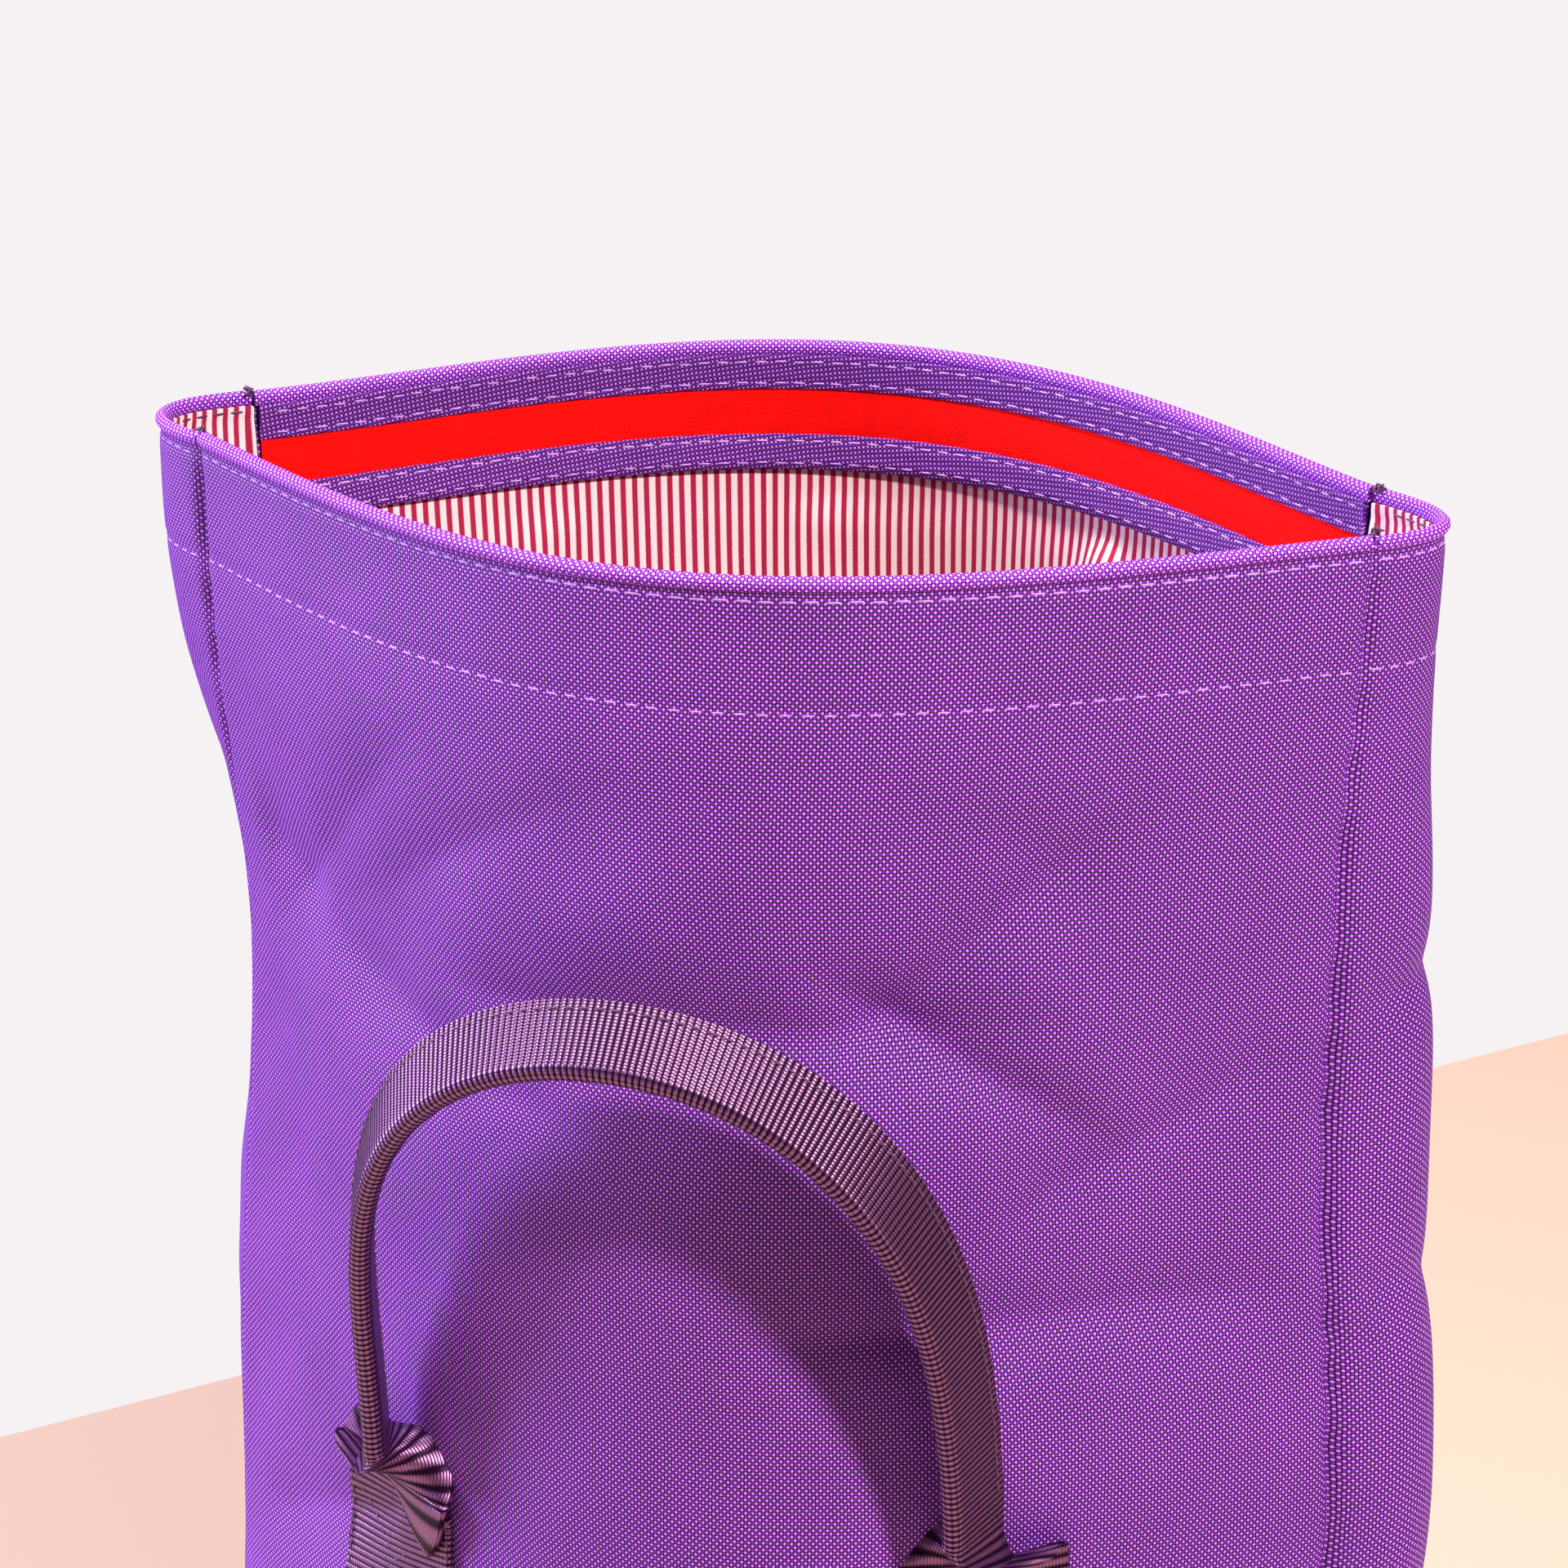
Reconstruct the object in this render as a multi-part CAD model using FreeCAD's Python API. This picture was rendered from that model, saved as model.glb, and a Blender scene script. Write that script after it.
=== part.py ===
import FreeCAD, Part
import math
import os

# Open-mouthed roll-top fabric bag. Millimetres, +Z up, front face towards -Y,
# origin on the floor under the middle of the bag.

# ---- driving dimensions -------------------------------------------------
HEIGHT = 390.0            # floor to the rim of the open mouth
PANEL_WIDTH = 302.0       # cut width of the front and of the back panel
GUSSET_WIDTH = 54.0       # cut width of each side gusset
MOUTH_HALF = 132.0        # half the seam-to-seam width at the rim
WAIST_HALF = 125.0        # the same at the soft crease under the rim
BELLY_HALF = 130.0        # the same at the handle ends
WAIST_TAKE_UP = 8.0       # panel width lost in the soft creases at the waist
SEAM_HALF_GAP = 22.3      # half the distance between front and back seams
MOUTH_SHIFT = 4.0         # front panel stands this far right, back panel left
BASE_HALF_LENGTH = 126.0  # half the length of the flat bottom
BASE_HALF_DEPTH = 75.0    # half the depth of the flat bottom
BASE_CORNER = 48.0        # corner radius of the flat bottom
BASE_BLEND = 170.0        # height over which the bottom outline becomes the lens

SHELL_THICK = 0.8
LINING_THICK = 0.5
LAYER_GAP = 0.3
BOARD_THICK = 2.0

HEM_TALL = 3.0            # rolled lip of the mouth
HEM_DEEP = 3.2
UPPER_STRIP_END = 11.5    # all three measured down from the rim
TAPE_END = 22.0
LOWER_STRIP_END = 30.5
LINING_TUCK = 3.0         # lining runs this far up behind the lower strip
TAPE_THICK = 1.6

WEBBING_WIDTH = 38.0
WEBBING_THICK = 2.2
END_TOP = 166.0           # top of the sewn handle ends
END_LENGTH = 36.0
HANDLE_HALF_SPAN = 68.0
HANDLE_RISE = 127.0       # hinge line to the middle of the grip
HANDLE_FOOT = 2.5         # free webbing starts this far above the hinge line
HANDLE_OPEN = 18.0        # height over which the folded webbing opens flat
HINGE_OUT = 12.0          # hinge line stands this far clear of the curved wall
HANDLE_LEAN = 36.0        # the loop leans this far forward over its height
HANDLE_STAND_OFF = 8.0    # folded webbing stands this far off the wall at its foot
HANDLE_BLUNT = 0.53       # exponent of the arch: lower is squarer

# ---- values that follow from the sizes above ----------------------------
HINGE_Z = END_TOP + 2.0
FOLD_WIDTH = WEBBING_WIDTH / 2
FOLD_THICK = 2 * WEBBING_THICK + 0.4
LINING_OUT = SHELL_THICK + LAYER_GAP
LINING_IN = LINING_OUT + LINING_THICK
STRIP_IN = LINING_IN + LAYER_GAP + SHELL_THICK
FLOOR_TOP = SHELL_THICK + LAYER_GAP + BOARD_THICK
SECTIONS = 14
STEPS = 24
CACHE = {}


def smooth(t):
    """Ease from 0 to 1."""
    t = min(1.0, max(0.0, t))
    return t * t * (3.0 - 2.0 * t)


def length_of(points):
    return sum(math.dist(a, b) for a, b in zip(points, points[1:]))


def resample(points, count):
    """Points at equal distances along a polyline."""
    total = length_of(points)
    wanted = [total * i / count for i in range(count + 1)]
    result = []
    run = 0.0
    index = 0
    for target in wanted:
        step = math.dist(points[index], points[index + 1])
        while run + step < target - 1e-9 and index < len(points) - 2:
            run += step
            index += 1
            step = math.dist(points[index], points[index + 1])
        part = (target - run) / step
        ax, ay = points[index]
        bx, by = points[index + 1]
        result.append((ax + (bx - ax) * part, ay + (by - ay) * part))
    return result


def seam_half(z):
    """Half the width between the side seams at one height."""
    waist_z = HEIGHT - 125.0
    if z > waist_z:
        t = smooth((z - waist_z) / (HEIGHT - waist_z))
        return WAIST_HALF + (MOUTH_HALF - WAIST_HALF) * t
    t = smooth((waist_z - z) / (waist_z - HINGE_Z))
    return WAIST_HALF + (BELLY_HALF - WAIST_HALF) * t


def bow(half):
    """Depth of a panel that bows between its seams like a sprung strip."""
    narrowing = (MOUTH_HALF - half) / (MOUTH_HALF - WAIST_HALF)
    width = PANEL_WIDTH - WAIST_TAKE_UP * narrowing
    low, high = 0.0, PANEL_WIDTH / 2
    for _ in range(40):
        middle = (low + high) / 2
        if length_of(sprung(half, middle)) < width:
            low = middle
        else:
            high = middle
    return (low + high) / 2


def sprung(half, depth):
    xs = [-half + 2 * half * i / 120 for i in range(121)]
    return [(x, -SEAM_HALF_GAP - depth * math.cos(math.pi * x / (2 * half)))
            for x in xs]


def lens_front(z):
    half = seam_half(z)
    return [(x + MOUTH_SHIFT, y) for x, y in sprung(half, bow(half))]


def lens_side(z):
    """Right gusset of the lens: front seam, nose, back seam."""
    half = seam_half(z)
    chord = math.dist((MOUTH_SHIFT, -SEAM_HALF_GAP), (-MOUTH_SHIFT, SEAM_HALF_GAP))
    nose = math.sqrt((GUSSET_WIDTH / 2) ** 2 - (chord / 2) ** 2) * 0.84
    result = []
    for i in range(61):
        t = i / 60
        x = half + MOUTH_SHIFT - 2 * MOUTH_SHIFT * t + nose * math.sin(math.pi * t)
        result.append((x, -SEAM_HALF_GAP + 2 * SEAM_HALF_GAP * t))
    return result


def base_front():
    """Front half of the flat bottom, seam to seam."""
    cx = BASE_HALF_LENGTH - BASE_CORNER
    cy = BASE_HALF_DEPTH - BASE_CORNER
    left, right = [], []
    for i in range(31):
        a = math.radians(180 + 3 * i)
        left.append((-cx + BASE_CORNER * math.cos(a), -cy + BASE_CORNER * math.sin(a)))
        b = math.radians(270 + 3 * i)
        right.append((cx + BASE_CORNER * math.cos(b), -cy + BASE_CORNER * math.sin(b)))
    return left + right


def base_side():
    cy = BASE_HALF_DEPTH - BASE_CORNER
    return [(BASE_HALF_LENGTH, -cy + 2 * cy * i / 10) for i in range(11)]


def section(which, index):
    """Outer edge of one wall at one of the evenly spaced heights."""
    key = (which, index)
    if key not in CACHE:
        z = HEIGHT * index / SECTIONS
        if which in ("front", "back"):
            low, high = resample(base_front(), STEPS), resample(lens_front(z), STEPS)
        else:
            low, high = resample(base_side(), STEPS), resample(lens_side(z), STEPS)
        w = smooth(z / BASE_BLEND)
        flip = -1 if which in ("back", "left") else 1
        CACHE[key] = [(flip * (a[0] + (b[0] - a[0]) * w), flip * (a[1] + (b[1] - a[1]) * w))
                      for a, b in zip(low, high)]
    return CACHE[key]


def outline(which, z):
    """Outer edge of one wall at any height, straight between the sections."""
    place = z / HEIGHT * SECTIONS
    index = min(int(place), SECTIONS - 1)
    part = place - index
    return [(a[0] + (b[0] - a[0]) * part, a[1] + (b[1] - a[1]) * part)
            for a, b in zip(section(which, index), section(which, index + 1))]


def inset(points, depth):
    """The outline moved towards the inside of the bag."""
    result = []
    for i, (x, y) in enumerate(points):
        ax, ay = points[max(i - 1, 0)]
        bx, by = points[min(i + 1, len(points) - 1)]
        run = math.hypot(bx - ax, by - ay)
        result.append((x - depth * (by - ay) / run, y + depth * (bx - ax) / run))
    return result


def trimmed(points, start, end):
    """Drop a length of outline at each end."""
    total = length_of(points)
    dense = resample(points, 600)
    first = round(600 * start / total)
    last = 600 - round(600 * end / total)
    return resample(dense[first:last + 1], STEPS)


def spline(points, z):
    curve = Part.BSplineCurve()
    curve.interpolate([FreeCAD.Vector(x, y, z) for x, y in points])
    return curve.toShape()


def wall_wire(outer, inner, z):
    start = FreeCAD.Vector(*outer[0], z)
    end = FreeCAD.Vector(*outer[-1], z)
    start_in = FreeCAD.Vector(*inner[0], z)
    end_in = FreeCAD.Vector(*inner[-1], z)
    edges = [spline(outer, z), Part.makeLine(end, end_in),
             spline(list(reversed(inner)), z), Part.makeLine(start_in, start)]
    return Part.Wire(edges)


def wall(which, bottom, top, outside, inside, start=0.5, end=None):
    """A layer of cloth on one wall, between two depths under its outer face."""
    end = start if end is None else end
    heights = [HEIGHT * i / SECTIONS for i in range(SECTIONS + 1)]
    levels = [bottom] + [z for z in heights if bottom + 0.5 < z < top - 0.5] + [top]
    wires = []
    for z in levels:
        edge = trimmed(outline(which, z), start, end)
        wires.append(wall_wire(inset(edge, outside), inset(edge, inside), z))
    return Part.makeLoft(wires, True, True)


def bottom_plate(z, thick, shrink):
    """A flat plate with the outline of the bottom."""
    cx = BASE_HALF_LENGTH - shrink
    cy = BASE_HALF_DEPTH - shrink
    box = Part.makeBox(2 * cx, 2 * cy, thick, FreeCAD.Vector(-cx, -cy, z))
    upright = [e for e in box.Edges if abs(e.Vertexes[0].Z - e.Vertexes[1].Z) > thick / 2]
    return box.makeFillet(BASE_CORNER - shrink, upright)


def wall_depth(x, z):
    """How far in front of the centre the front wall stands at one place."""
    points = outline("front", z)
    for a, b in zip(points, points[1:]):
        if a[0] <= x <= b[0]:
            return -(a[1] + (b[1] - a[1]) * (x - a[0]) / (b[0] - a[0]))
    return SEAM_HALF_GAP


def handle_end(side):
    """Flat sewn end of the webbing, lying on the curved front wall."""
    x_mid = MOUTH_SHIFT + side * HANDLE_HALF_SPAN
    levels = [END_TOP - END_LENGTH, END_TOP - END_LENGTH / 2, END_TOP]
    wires = []
    for z in levels:
        xs = [x_mid + WEBBING_WIDTH * 0.46 * (i / 4 - 1) for i in range(9)]
        face = [(x, -wall_depth(x, z)) for x in xs]
        back = inset(face, -LAYER_GAP)
        front = inset(face, -LAYER_GAP - WEBBING_THICK)
        wires.append(wall_wire(front, back, z))
    return Part.makeLoft(wires, True, False)


def hinge_y():
    return -wall_depth(MOUTH_SHIFT + HANDLE_HALF_SPAN, HINGE_Z) - WEBBING_THICK


def wall_slope():
    """How fast the front wall falls back towards a handle foot."""
    x = MOUTH_SHIFT + HANDLE_HALF_SPAN
    return (wall_depth(x - 5, HINGE_Z) - wall_depth(x + 5, HINGE_Z)) / 10


def strap_centre(t):
    """Middle of the webbing at angle t of the arch, with its opening at the foot."""
    c, s = math.cos(t), math.sin(t)
    x = -HANDLE_HALF_SPAN * math.copysign(abs(c) ** 0.97, c)
    rise = HANDLE_RISE * s ** HANDLE_BLUNT
    opened = smooth(1 - (rise - HANDLE_FOOT) / HANDLE_OPEN)
    lean = smooth(rise / HANDLE_RISE * 0.62 + 0.02) / smooth(0.64)
    out = HANDLE_LEAN * lean + HANDLE_STAND_OFF * (1 - opened)
    return FreeCAD.Vector(MOUTH_SHIFT + x, hinge_y() - out, HINGE_Z + rise), opened


def strap_corners(t):
    """Four corners of the webbing across the arch at angle t."""
    centre, opened = strap_centre(t)
    before = strap_centre(max(t - 0.004, 1e-4))[0]
    after = strap_centre(min(t + 0.004, math.pi - 1e-4))[0]
    tangent = (after - before).normalize()
    side = (centre.x - MOUTH_SHIFT) / HANDLE_HALF_SPAN
    turn = smooth((centre.z - HINGE_Z) / HANDLE_RISE) ** 1.5
    folded = FreeCAD.Vector(side * 0.35, 1.0 - 0.55 * turn, 0.9 * turn).normalize()
    flat = FreeCAD.Vector(math.copysign(1.0, side), wall_slope(), 0).normalize()
    across = flat * opened + folded * (1 - opened)
    across = (across - tangent * across.dot(tangent)).normalize()
    through = tangent.cross(across)
    across = across * ((FOLD_WIDTH + (WEBBING_WIDTH * 0.9 - FOLD_WIDTH) * opened) / 2)
    through = through * ((FOLD_THICK + (WEBBING_THICK - FOLD_THICK) * opened) / 2)
    return [centre + across + through, centre - across + through,
            centre - across - through, centre + across - through]


def arch_angle(rise):
    return math.asin((rise / HANDLE_RISE) ** (1 / HANDLE_BLUNT))


def handle_grip():
    """Free loop of webbing, folded in half along its length."""
    rises = (HANDLE_FOOT, 8.0, 14.0, 21.0, 34.0, 52.0, 72.0, 90.0, 105.0, 116.0, 123.0)
    climb = [arch_angle(rise) for rise in rises]
    wires = []
    for t in climb + [math.pi / 2] + [math.pi - a for a in reversed(climb)]:
        corners = strap_corners(t)
        wires.append(Part.makePolygon(corners + corners[:1]))
    loop = Part.makeLoft(wires, True, True)
    if loop.Volume < 0:
        loop.reverse()
    return loop


def turned(shape):
    """The same piece on the back of the bag."""
    copy = shape.copy()
    copy.rotate(FreeCAD.Vector(0, 0, 0), FreeCAD.Vector(0, 0, 1), 180)
    return copy


def build():
    shell_top = HEIGHT - HEM_TALL - LAYER_GAP
    shell_bottom = 0.0
    lining_bottom = FLOOR_TOP + LAYER_GAP
    strip_gap = LAYER_GAP / 2
    parts = {}
    for which in ("front", "back"):
        parts[which + "_panel"] = wall(which, shell_bottom, shell_top, 0.0, SHELL_THICK)
        lining_top = HEIGHT - LOWER_STRIP_END + LINING_TUCK
        parts[which + "_lining"] = wall(
            which, lining_bottom, lining_top, LINING_OUT, LINING_IN, 1.6)
        parts[which + "_mouth_hem"] = wall(
            which, HEIGHT - HEM_TALL, HEIGHT, 0.0, HEM_DEEP, 0.5)
        parts[which + "_upper_facing"] = wall(
            which, HEIGHT - UPPER_STRIP_END, shell_top, LINING_OUT, STRIP_IN, 2.2)
        parts[which + "_lower_facing"] = wall(
            which, HEIGHT - LOWER_STRIP_END, HEIGHT - TAPE_END - strip_gap,
            LINING_IN + LAYER_GAP, STRIP_IN + LAYER_GAP, 2.6)
        tape = "front_hook_tape" if which == "front" else "back_loop_tape"
        parts[tape] = wall(
            which, HEIGHT - TAPE_END + strip_gap, HEIGHT - UPPER_STRIP_END - LAYER_GAP,
            LINING_OUT, LINING_OUT + TAPE_THICK, 2.6)
    for which in ("left", "right"):
        parts[which + "_gusset"] = wall(which, shell_bottom, shell_top, 0.0, SHELL_THICK)
        parts[which + "_gusset_lining"] = wall(
            which, lining_bottom, shell_top, LINING_OUT, LINING_IN, 1.3)
        parts[which + "_gusset_hem"] = wall(
            which, HEIGHT - HEM_TALL, HEIGHT, 0.0, HEM_DEEP - 0.8, 1.0)
    inside = SHELL_THICK + LAYER_GAP + 0.5
    parts["bottom_panel"] = bottom_plate(0.0, SHELL_THICK, inside)
    parts["base_board"] = bottom_plate(SHELL_THICK + LAYER_GAP, BOARD_THICK, inside)
    parts["bottom_lining"] = bottom_plate(
        FLOOR_TOP + LAYER_GAP, LINING_THICK, inside + LINING_IN)
    grip = handle_grip()
    parts["front_handle_grip"] = grip
    parts["back_handle_grip"] = turned(grip)
    for side, name in ((-1, "left"), (1, "right")):
        end = handle_end(side)
        parts["front_handle_" + name + "_end"] = end
        other = "right" if name == "left" else "left"
        parts["back_handle_" + other + "_end"] = turned(end)
    return parts


os.makedirs("parts", exist_ok=True)
for node, shape in build().items():
    shape.exportStep(os.path.join("parts", node + ".step"))
    print(node, shape.isValid(), round(shape.Volume), "mm3", shape.BoundBox)
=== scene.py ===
"""A soft roll-top carry bag of violet plain-weave cloth, standing with its mouth open.

Lengths in the functions are millimetres unless a name says otherwise. The bag stands on
the floor at z = 0, its front faces -Y, and its two webbing handles stand still, one on the
front and one on the back.
"""

import math

import bpy
import numpy as np
from mathutils import Matrix, Vector


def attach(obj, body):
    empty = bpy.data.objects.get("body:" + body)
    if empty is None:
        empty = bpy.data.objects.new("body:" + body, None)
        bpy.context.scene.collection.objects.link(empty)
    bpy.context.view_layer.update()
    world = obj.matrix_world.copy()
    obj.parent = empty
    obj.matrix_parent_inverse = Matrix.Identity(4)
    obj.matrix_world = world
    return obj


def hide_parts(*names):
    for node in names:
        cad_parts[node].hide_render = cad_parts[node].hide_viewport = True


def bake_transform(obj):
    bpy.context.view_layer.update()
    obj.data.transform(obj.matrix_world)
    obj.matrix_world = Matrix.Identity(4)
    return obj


bl_info = {
    "name": "Roll-top carry bag",
    "version": (1, 0, 0),
    "blender": (4, 5, 0),
    "location": "View3D > Sidebar > Bag",
    "description": "Models a soft roll-top bag with webbing handles and a striped lining",
    "category": "Object",
}

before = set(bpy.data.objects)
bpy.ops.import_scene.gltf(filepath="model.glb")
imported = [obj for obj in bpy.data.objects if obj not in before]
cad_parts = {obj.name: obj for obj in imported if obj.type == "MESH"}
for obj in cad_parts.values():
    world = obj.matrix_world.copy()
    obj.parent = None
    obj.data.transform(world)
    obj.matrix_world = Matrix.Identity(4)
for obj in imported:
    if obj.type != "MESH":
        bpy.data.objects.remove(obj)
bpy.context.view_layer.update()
MM = 0.001
HALF_TURN = np.array([-1.0, -1.0, 1.0])   # turns a front point to the rear
WELD = 2e-6        # points nearer than this are one point, metres

LEVELS = 196       # heights at which the outline of a wall is worked out
STATIONS = 721     # places along each outline
OUTLINES = {}
FINISHES = {}
WALLS = ("front", "right", "back", "left")

# Layers, measured inwards from the outer face of the cloth.
SHELL_THICK = 0.8
LINING_THICK = 0.5
LINING_DEPTH = 1.1
LINING_LOW = 3.4          # the wall linings start this far above the floor
SHELL_EDGE = 2.2          # the outer cloth ends this far under the rim, inside the lip

# Rows of stitches, measured down from the rim.
RIM_ROW = 5.0
HEM_ROW = 28.5
STITCH_LENGTH = 3.7

# Relief of the cloth.
CREASE_SHARE = 1.4        # every crease is this much deeper than its table says
SWELL_PITCH, SMALL_SWELL_PITCH = 95.0, 34.0
LEAN = 2.5                # the upper bag stands this far to the right of its base

# Webbing handles.
STEP_UP = 1.5             # heights, near the handle ends, at which the wall is looked up
END_LEVELS = np.arange(100.0, 190.0, STEP_UP)
ACROSS = np.linspace(-110.0, 110.0, 221)   # places across it, one for each millimetre
FOLDED_SHARE = 0.92       # folded webbing is drawn in to this share of its width
HINGE_ABOVE = 2.0         # the hinge line is this far above the sewn ends
BENDING = 16.0            # a height over which the strap would bend as it swings; worked out in bend_over_hinge but not used
FOLD_BEND = 2.1           # webbing on each side of the fold that takes up the bend
RING_STEP = 0.375
RIB_PITCH = 1.5
RIB_HEIGHT, RIB_SINK = 0.07, 0.05
RIB_SLANT = 0.05          # the ribs run this much askew
STITCH_INSET = 2.7        # edge stitches, from the edge of the webbing
WALL_GAP = 0.45           # between the wall and the sewn webbing
ARCH_BLUNT = 0.53         # exponent of the arch: lower is squarer

# Stage, in metres and degrees.
TABLE_EDGE = ((-0.3294, 0.2377), (0.0699, 0.7707))   # far edge of the table top
TABLE_SIZE = (6.0, 3.2)
CAMERA_TURN, CAMERA_TILT, CAMERA_LEAN = 18.24, 17.12, 0.687
CAMERA_PLACE = (0.3099, -0.9339, 0.6192)
CAMERA_LENS, CAMERA_SENSOR = 106.49, 36.0
AIM = (0.0, -0.05, 0.27)
# Name, place, diameter, power and colour of each light.
LIGHTS = (
    ("key_light", (1.58, -1.15, 1.95), 0.24, 112.0, "#fff2ea"),
    ("left_light", (-2.3, -0.34, 0.8), 1.1, 114.0, "#e2d4ff"),
    ("top_light", (-0.5, -0.22, 2.35), 0.8, 72.0, "#fff8f4"),
)


# ---- sizes and colours ---------------------------------------------------

def length_property(name, millimetres, description):
    return bpy.props.FloatProperty(
        name=name, description=description, default=millimetres * MM,
        min=0.0, unit="LENGTH", precision=4)


def colour_property(name, code, description):
    return bpy.props.StringProperty(name=name, description=description, default=code)


class BagSizes(bpy.types.PropertyGroup):
    """Sizes of the bag, its mouth and its handles"""
    height: length_property("Height", 390, "Floor to the rim of the open mouth")
    panel_width: length_property("Panel width", 302, "Width of the front and back panels")
    gusset_width: length_property("Gusset width", 54, "Width of each side gusset")
    mouth_half: length_property("Mouth", 132, "Half the width from seam to seam at the rim")
    waist_half: length_property("Waist", 125, "Half the seam-to-seam width at the crease")
    belly_half: length_property("Belly", 130, "Half the seam-to-seam width by the handle feet")
    waist_take_up: length_property("Waist take-up", 8, "Panel width lost in the creases")
    seam_half_gap: length_property("Seam gap", 22.3, "Half the distance between the seams")
    mouth_shift: length_property("Mouth shift", 4, "How far the panels slide past each other")
    base_half_length: length_property("Base length", 126, "Half the length of the bottom")
    base_half_depth: length_property("Base depth", 75, "Half the depth of the bottom")
    base_corner: length_property("Base corner", 48, "Corner radius of the bottom")
    base_blend: length_property("Base blend", 170, "Height over which the base shape fades")
    lip: length_property("Lip", 3, "Height of the rolled lip of the mouth")
    upper_strip: length_property("Upper strip", 11.5, "Rim to the end of the upper facing")
    tape_end: length_property("Tape", 22, "Rim to the lower edge of the fastening tape")
    lower_strip: length_property("Lower strip", 30.5, "Rim to the end of the lower facing")
    webbing_width: length_property("Webbing width", 38, "Width of the flat webbing")
    webbing_thick: length_property("Webbing thickness", 2.2, "Thickness of one layer")
    end_top: length_property("Handle end", 166, "Top of the sewn handle ends")
    end_length: length_property("Sewn length", 36, "Length of the sewn handle ends")
    handle_half_span: length_property("Handle span", 68, "Half the distance between feet")
    handle_rise: length_property("Handle rise", 127, "Hinge line to the top of the loop")
    handle_lean: length_property("Handle lean", 36, "How far the loop leans forward")
    stitch_pitch: length_property("Stitch pitch", 4.6, "Distance from stitch to stitch")


class BagColours(bpy.types.PropertyGroup):
    """Colours of the cloths, the tapes, the webbing and the stage, as sRGB codes"""
    cloth_gap: colour_property("Cloth, gaps", "#16022f", "Shade between the threads")
    cloth_weft: colour_property("Cloth, weft", "#701cb2", "Threads that run across")
    # The warp is painted lighter than the weft: a painted sheen on the warp floats.
    cloth_warp_with_painted_sheen: colour_property("Cloth, warp", "#c880f0", "Threads that run up")
    stripe_light: colour_property("Stripe, light", "#f8e4ea", "White stripes of the lining")
    stripe_dark: colour_property("Stripe, dark", "#ac1a48", "Red stripes of the lining")
    loop_pile: colour_property("Loop tape", "#fa0a06", "Pile of the loop tape")
    hook_pile: colour_property("Hook tape", "#c8101c", "Hooks of the hook tape")
    webbing_gap: colour_property("Webbing, gaps", "#160419", "Shade between the ribs")
    webbing_rib: colour_property("Webbing, ribs", "#280c31", "Tops of the ribs")
    thread: colour_property("Thread", "#b586dc", "Sewing thread of the hems")
    dark_thread: colour_property("Dark thread", "#451048", "Sewing thread of the handles")
    board: colour_property("Base board", "#2b2b30", "Stiffener in the bottom")
    floor: colour_property("Floor", "#bda491", "Table that the bag stands on")
    backdrop: colour_property("Backdrop", "#f6f2f4", "Empty space behind the bag")


def sizes():
    return bpy.context.scene.bag_sizes


def colours():
    return bpy.context.scene.bag_colours


def size_of(name):
    """One of the bag's sizes, in millimetres."""
    return getattr(sizes(), name) / MM


# ---- the shape of the walls ----------------------------------------------

def smooth(t):
    """Ease from 0 to 1."""
    t = np.clip(t, 0.0, 1.0)
    return t * t * (3.0 - 2.0 * t)


def hump(distance, width):
    """A soft bump that is 1 at its middle."""
    return np.exp(-(distance / width) ** 2)


def run_of(points):
    """Distance along a polyline, from 0."""
    return np.concatenate([[0.0], np.cumsum(np.linalg.norm(np.diff(points, axis=0), axis=1))])


def evenly(points, count):
    """The polyline with this many points at equal distances."""
    run = run_of(points)
    wanted = np.linspace(0.0, run[-1], count)
    return np.stack([np.interp(wanted, run, points[:, i])
                     for i in range(points.shape[1])], axis=1)


def between(table, row, column):
    """A table's value between its four nearest entries."""
    i = np.minimum(row.astype(int), table.shape[0] - 2)
    j = np.minimum(column.astype(int), table.shape[1] - 2)
    a, b = row - i, column - j
    if table.ndim == 3:
        a, b = a[..., None], b[..., None]
    return ((table[i, j] * (1 - b) + table[i, j + 1] * b) * (1 - a)
            + (table[i + 1, j] * (1 - b) + table[i + 1, j + 1] * b) * a)


def unit(vectors):
    return vectors / np.linalg.norm(vectors, axis=-1, keepdims=True)


def across_only(vectors, along):
    """The part of each vector that is square to the other direction, at length 1."""
    return unit(vectors - along * np.sum(vectors * along, axis=1, keepdims=True))


def is_panel(which):
    return which in ("front", "back")


def part_name(which, piece):
    """Gusset pieces are called left_gusset_..., panel pieces front_..."""
    return f"{which}_{'' if is_panel(which) else 'gusset_'}{piece}"


def hinge_height():
    return size_of("end_top") + HINGE_ABOVE


def seam_half(z):
    """Half the width between the side seams at one height."""
    waist_z = size_of("height") - 125.0
    hinge_z = hinge_height()
    waist = size_of("waist_half")
    if z > waist_z:
        t = smooth((z - waist_z) / (size_of("height") - waist_z))
        return waist + (size_of("mouth_half") - waist) * t
    t = smooth((waist_z - z) / (waist_z - hinge_z))
    return waist + (size_of("belly_half") - waist) * t


def sprung(half, depth):
    """A panel held at its seams, bowed like a sprung strip."""
    x = np.linspace(-half, half, 181)
    return np.stack([x, -size_of("seam_half_gap") - depth * np.cos(math.pi * x / (2 * half))],
                    axis=1)


def bow(half):
    """Depth of the bow that uses up the panel's width."""
    mouth, waist = size_of("mouth_half"), size_of("waist_half")
    width = size_of("panel_width") - size_of("waist_take_up") * (mouth - half) / (mouth - waist)
    low, high = 0.0, width / 2
    for _ in range(34):
        middle = (low + high) / 2
        if run_of(sprung(half, middle))[-1] < width:
            low = middle
        else:
            high = middle
    return (low + high) / 2


def lens_front(half):
    return sprung(half, bow(half)) + [size_of("mouth_shift"), 0.0]


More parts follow.
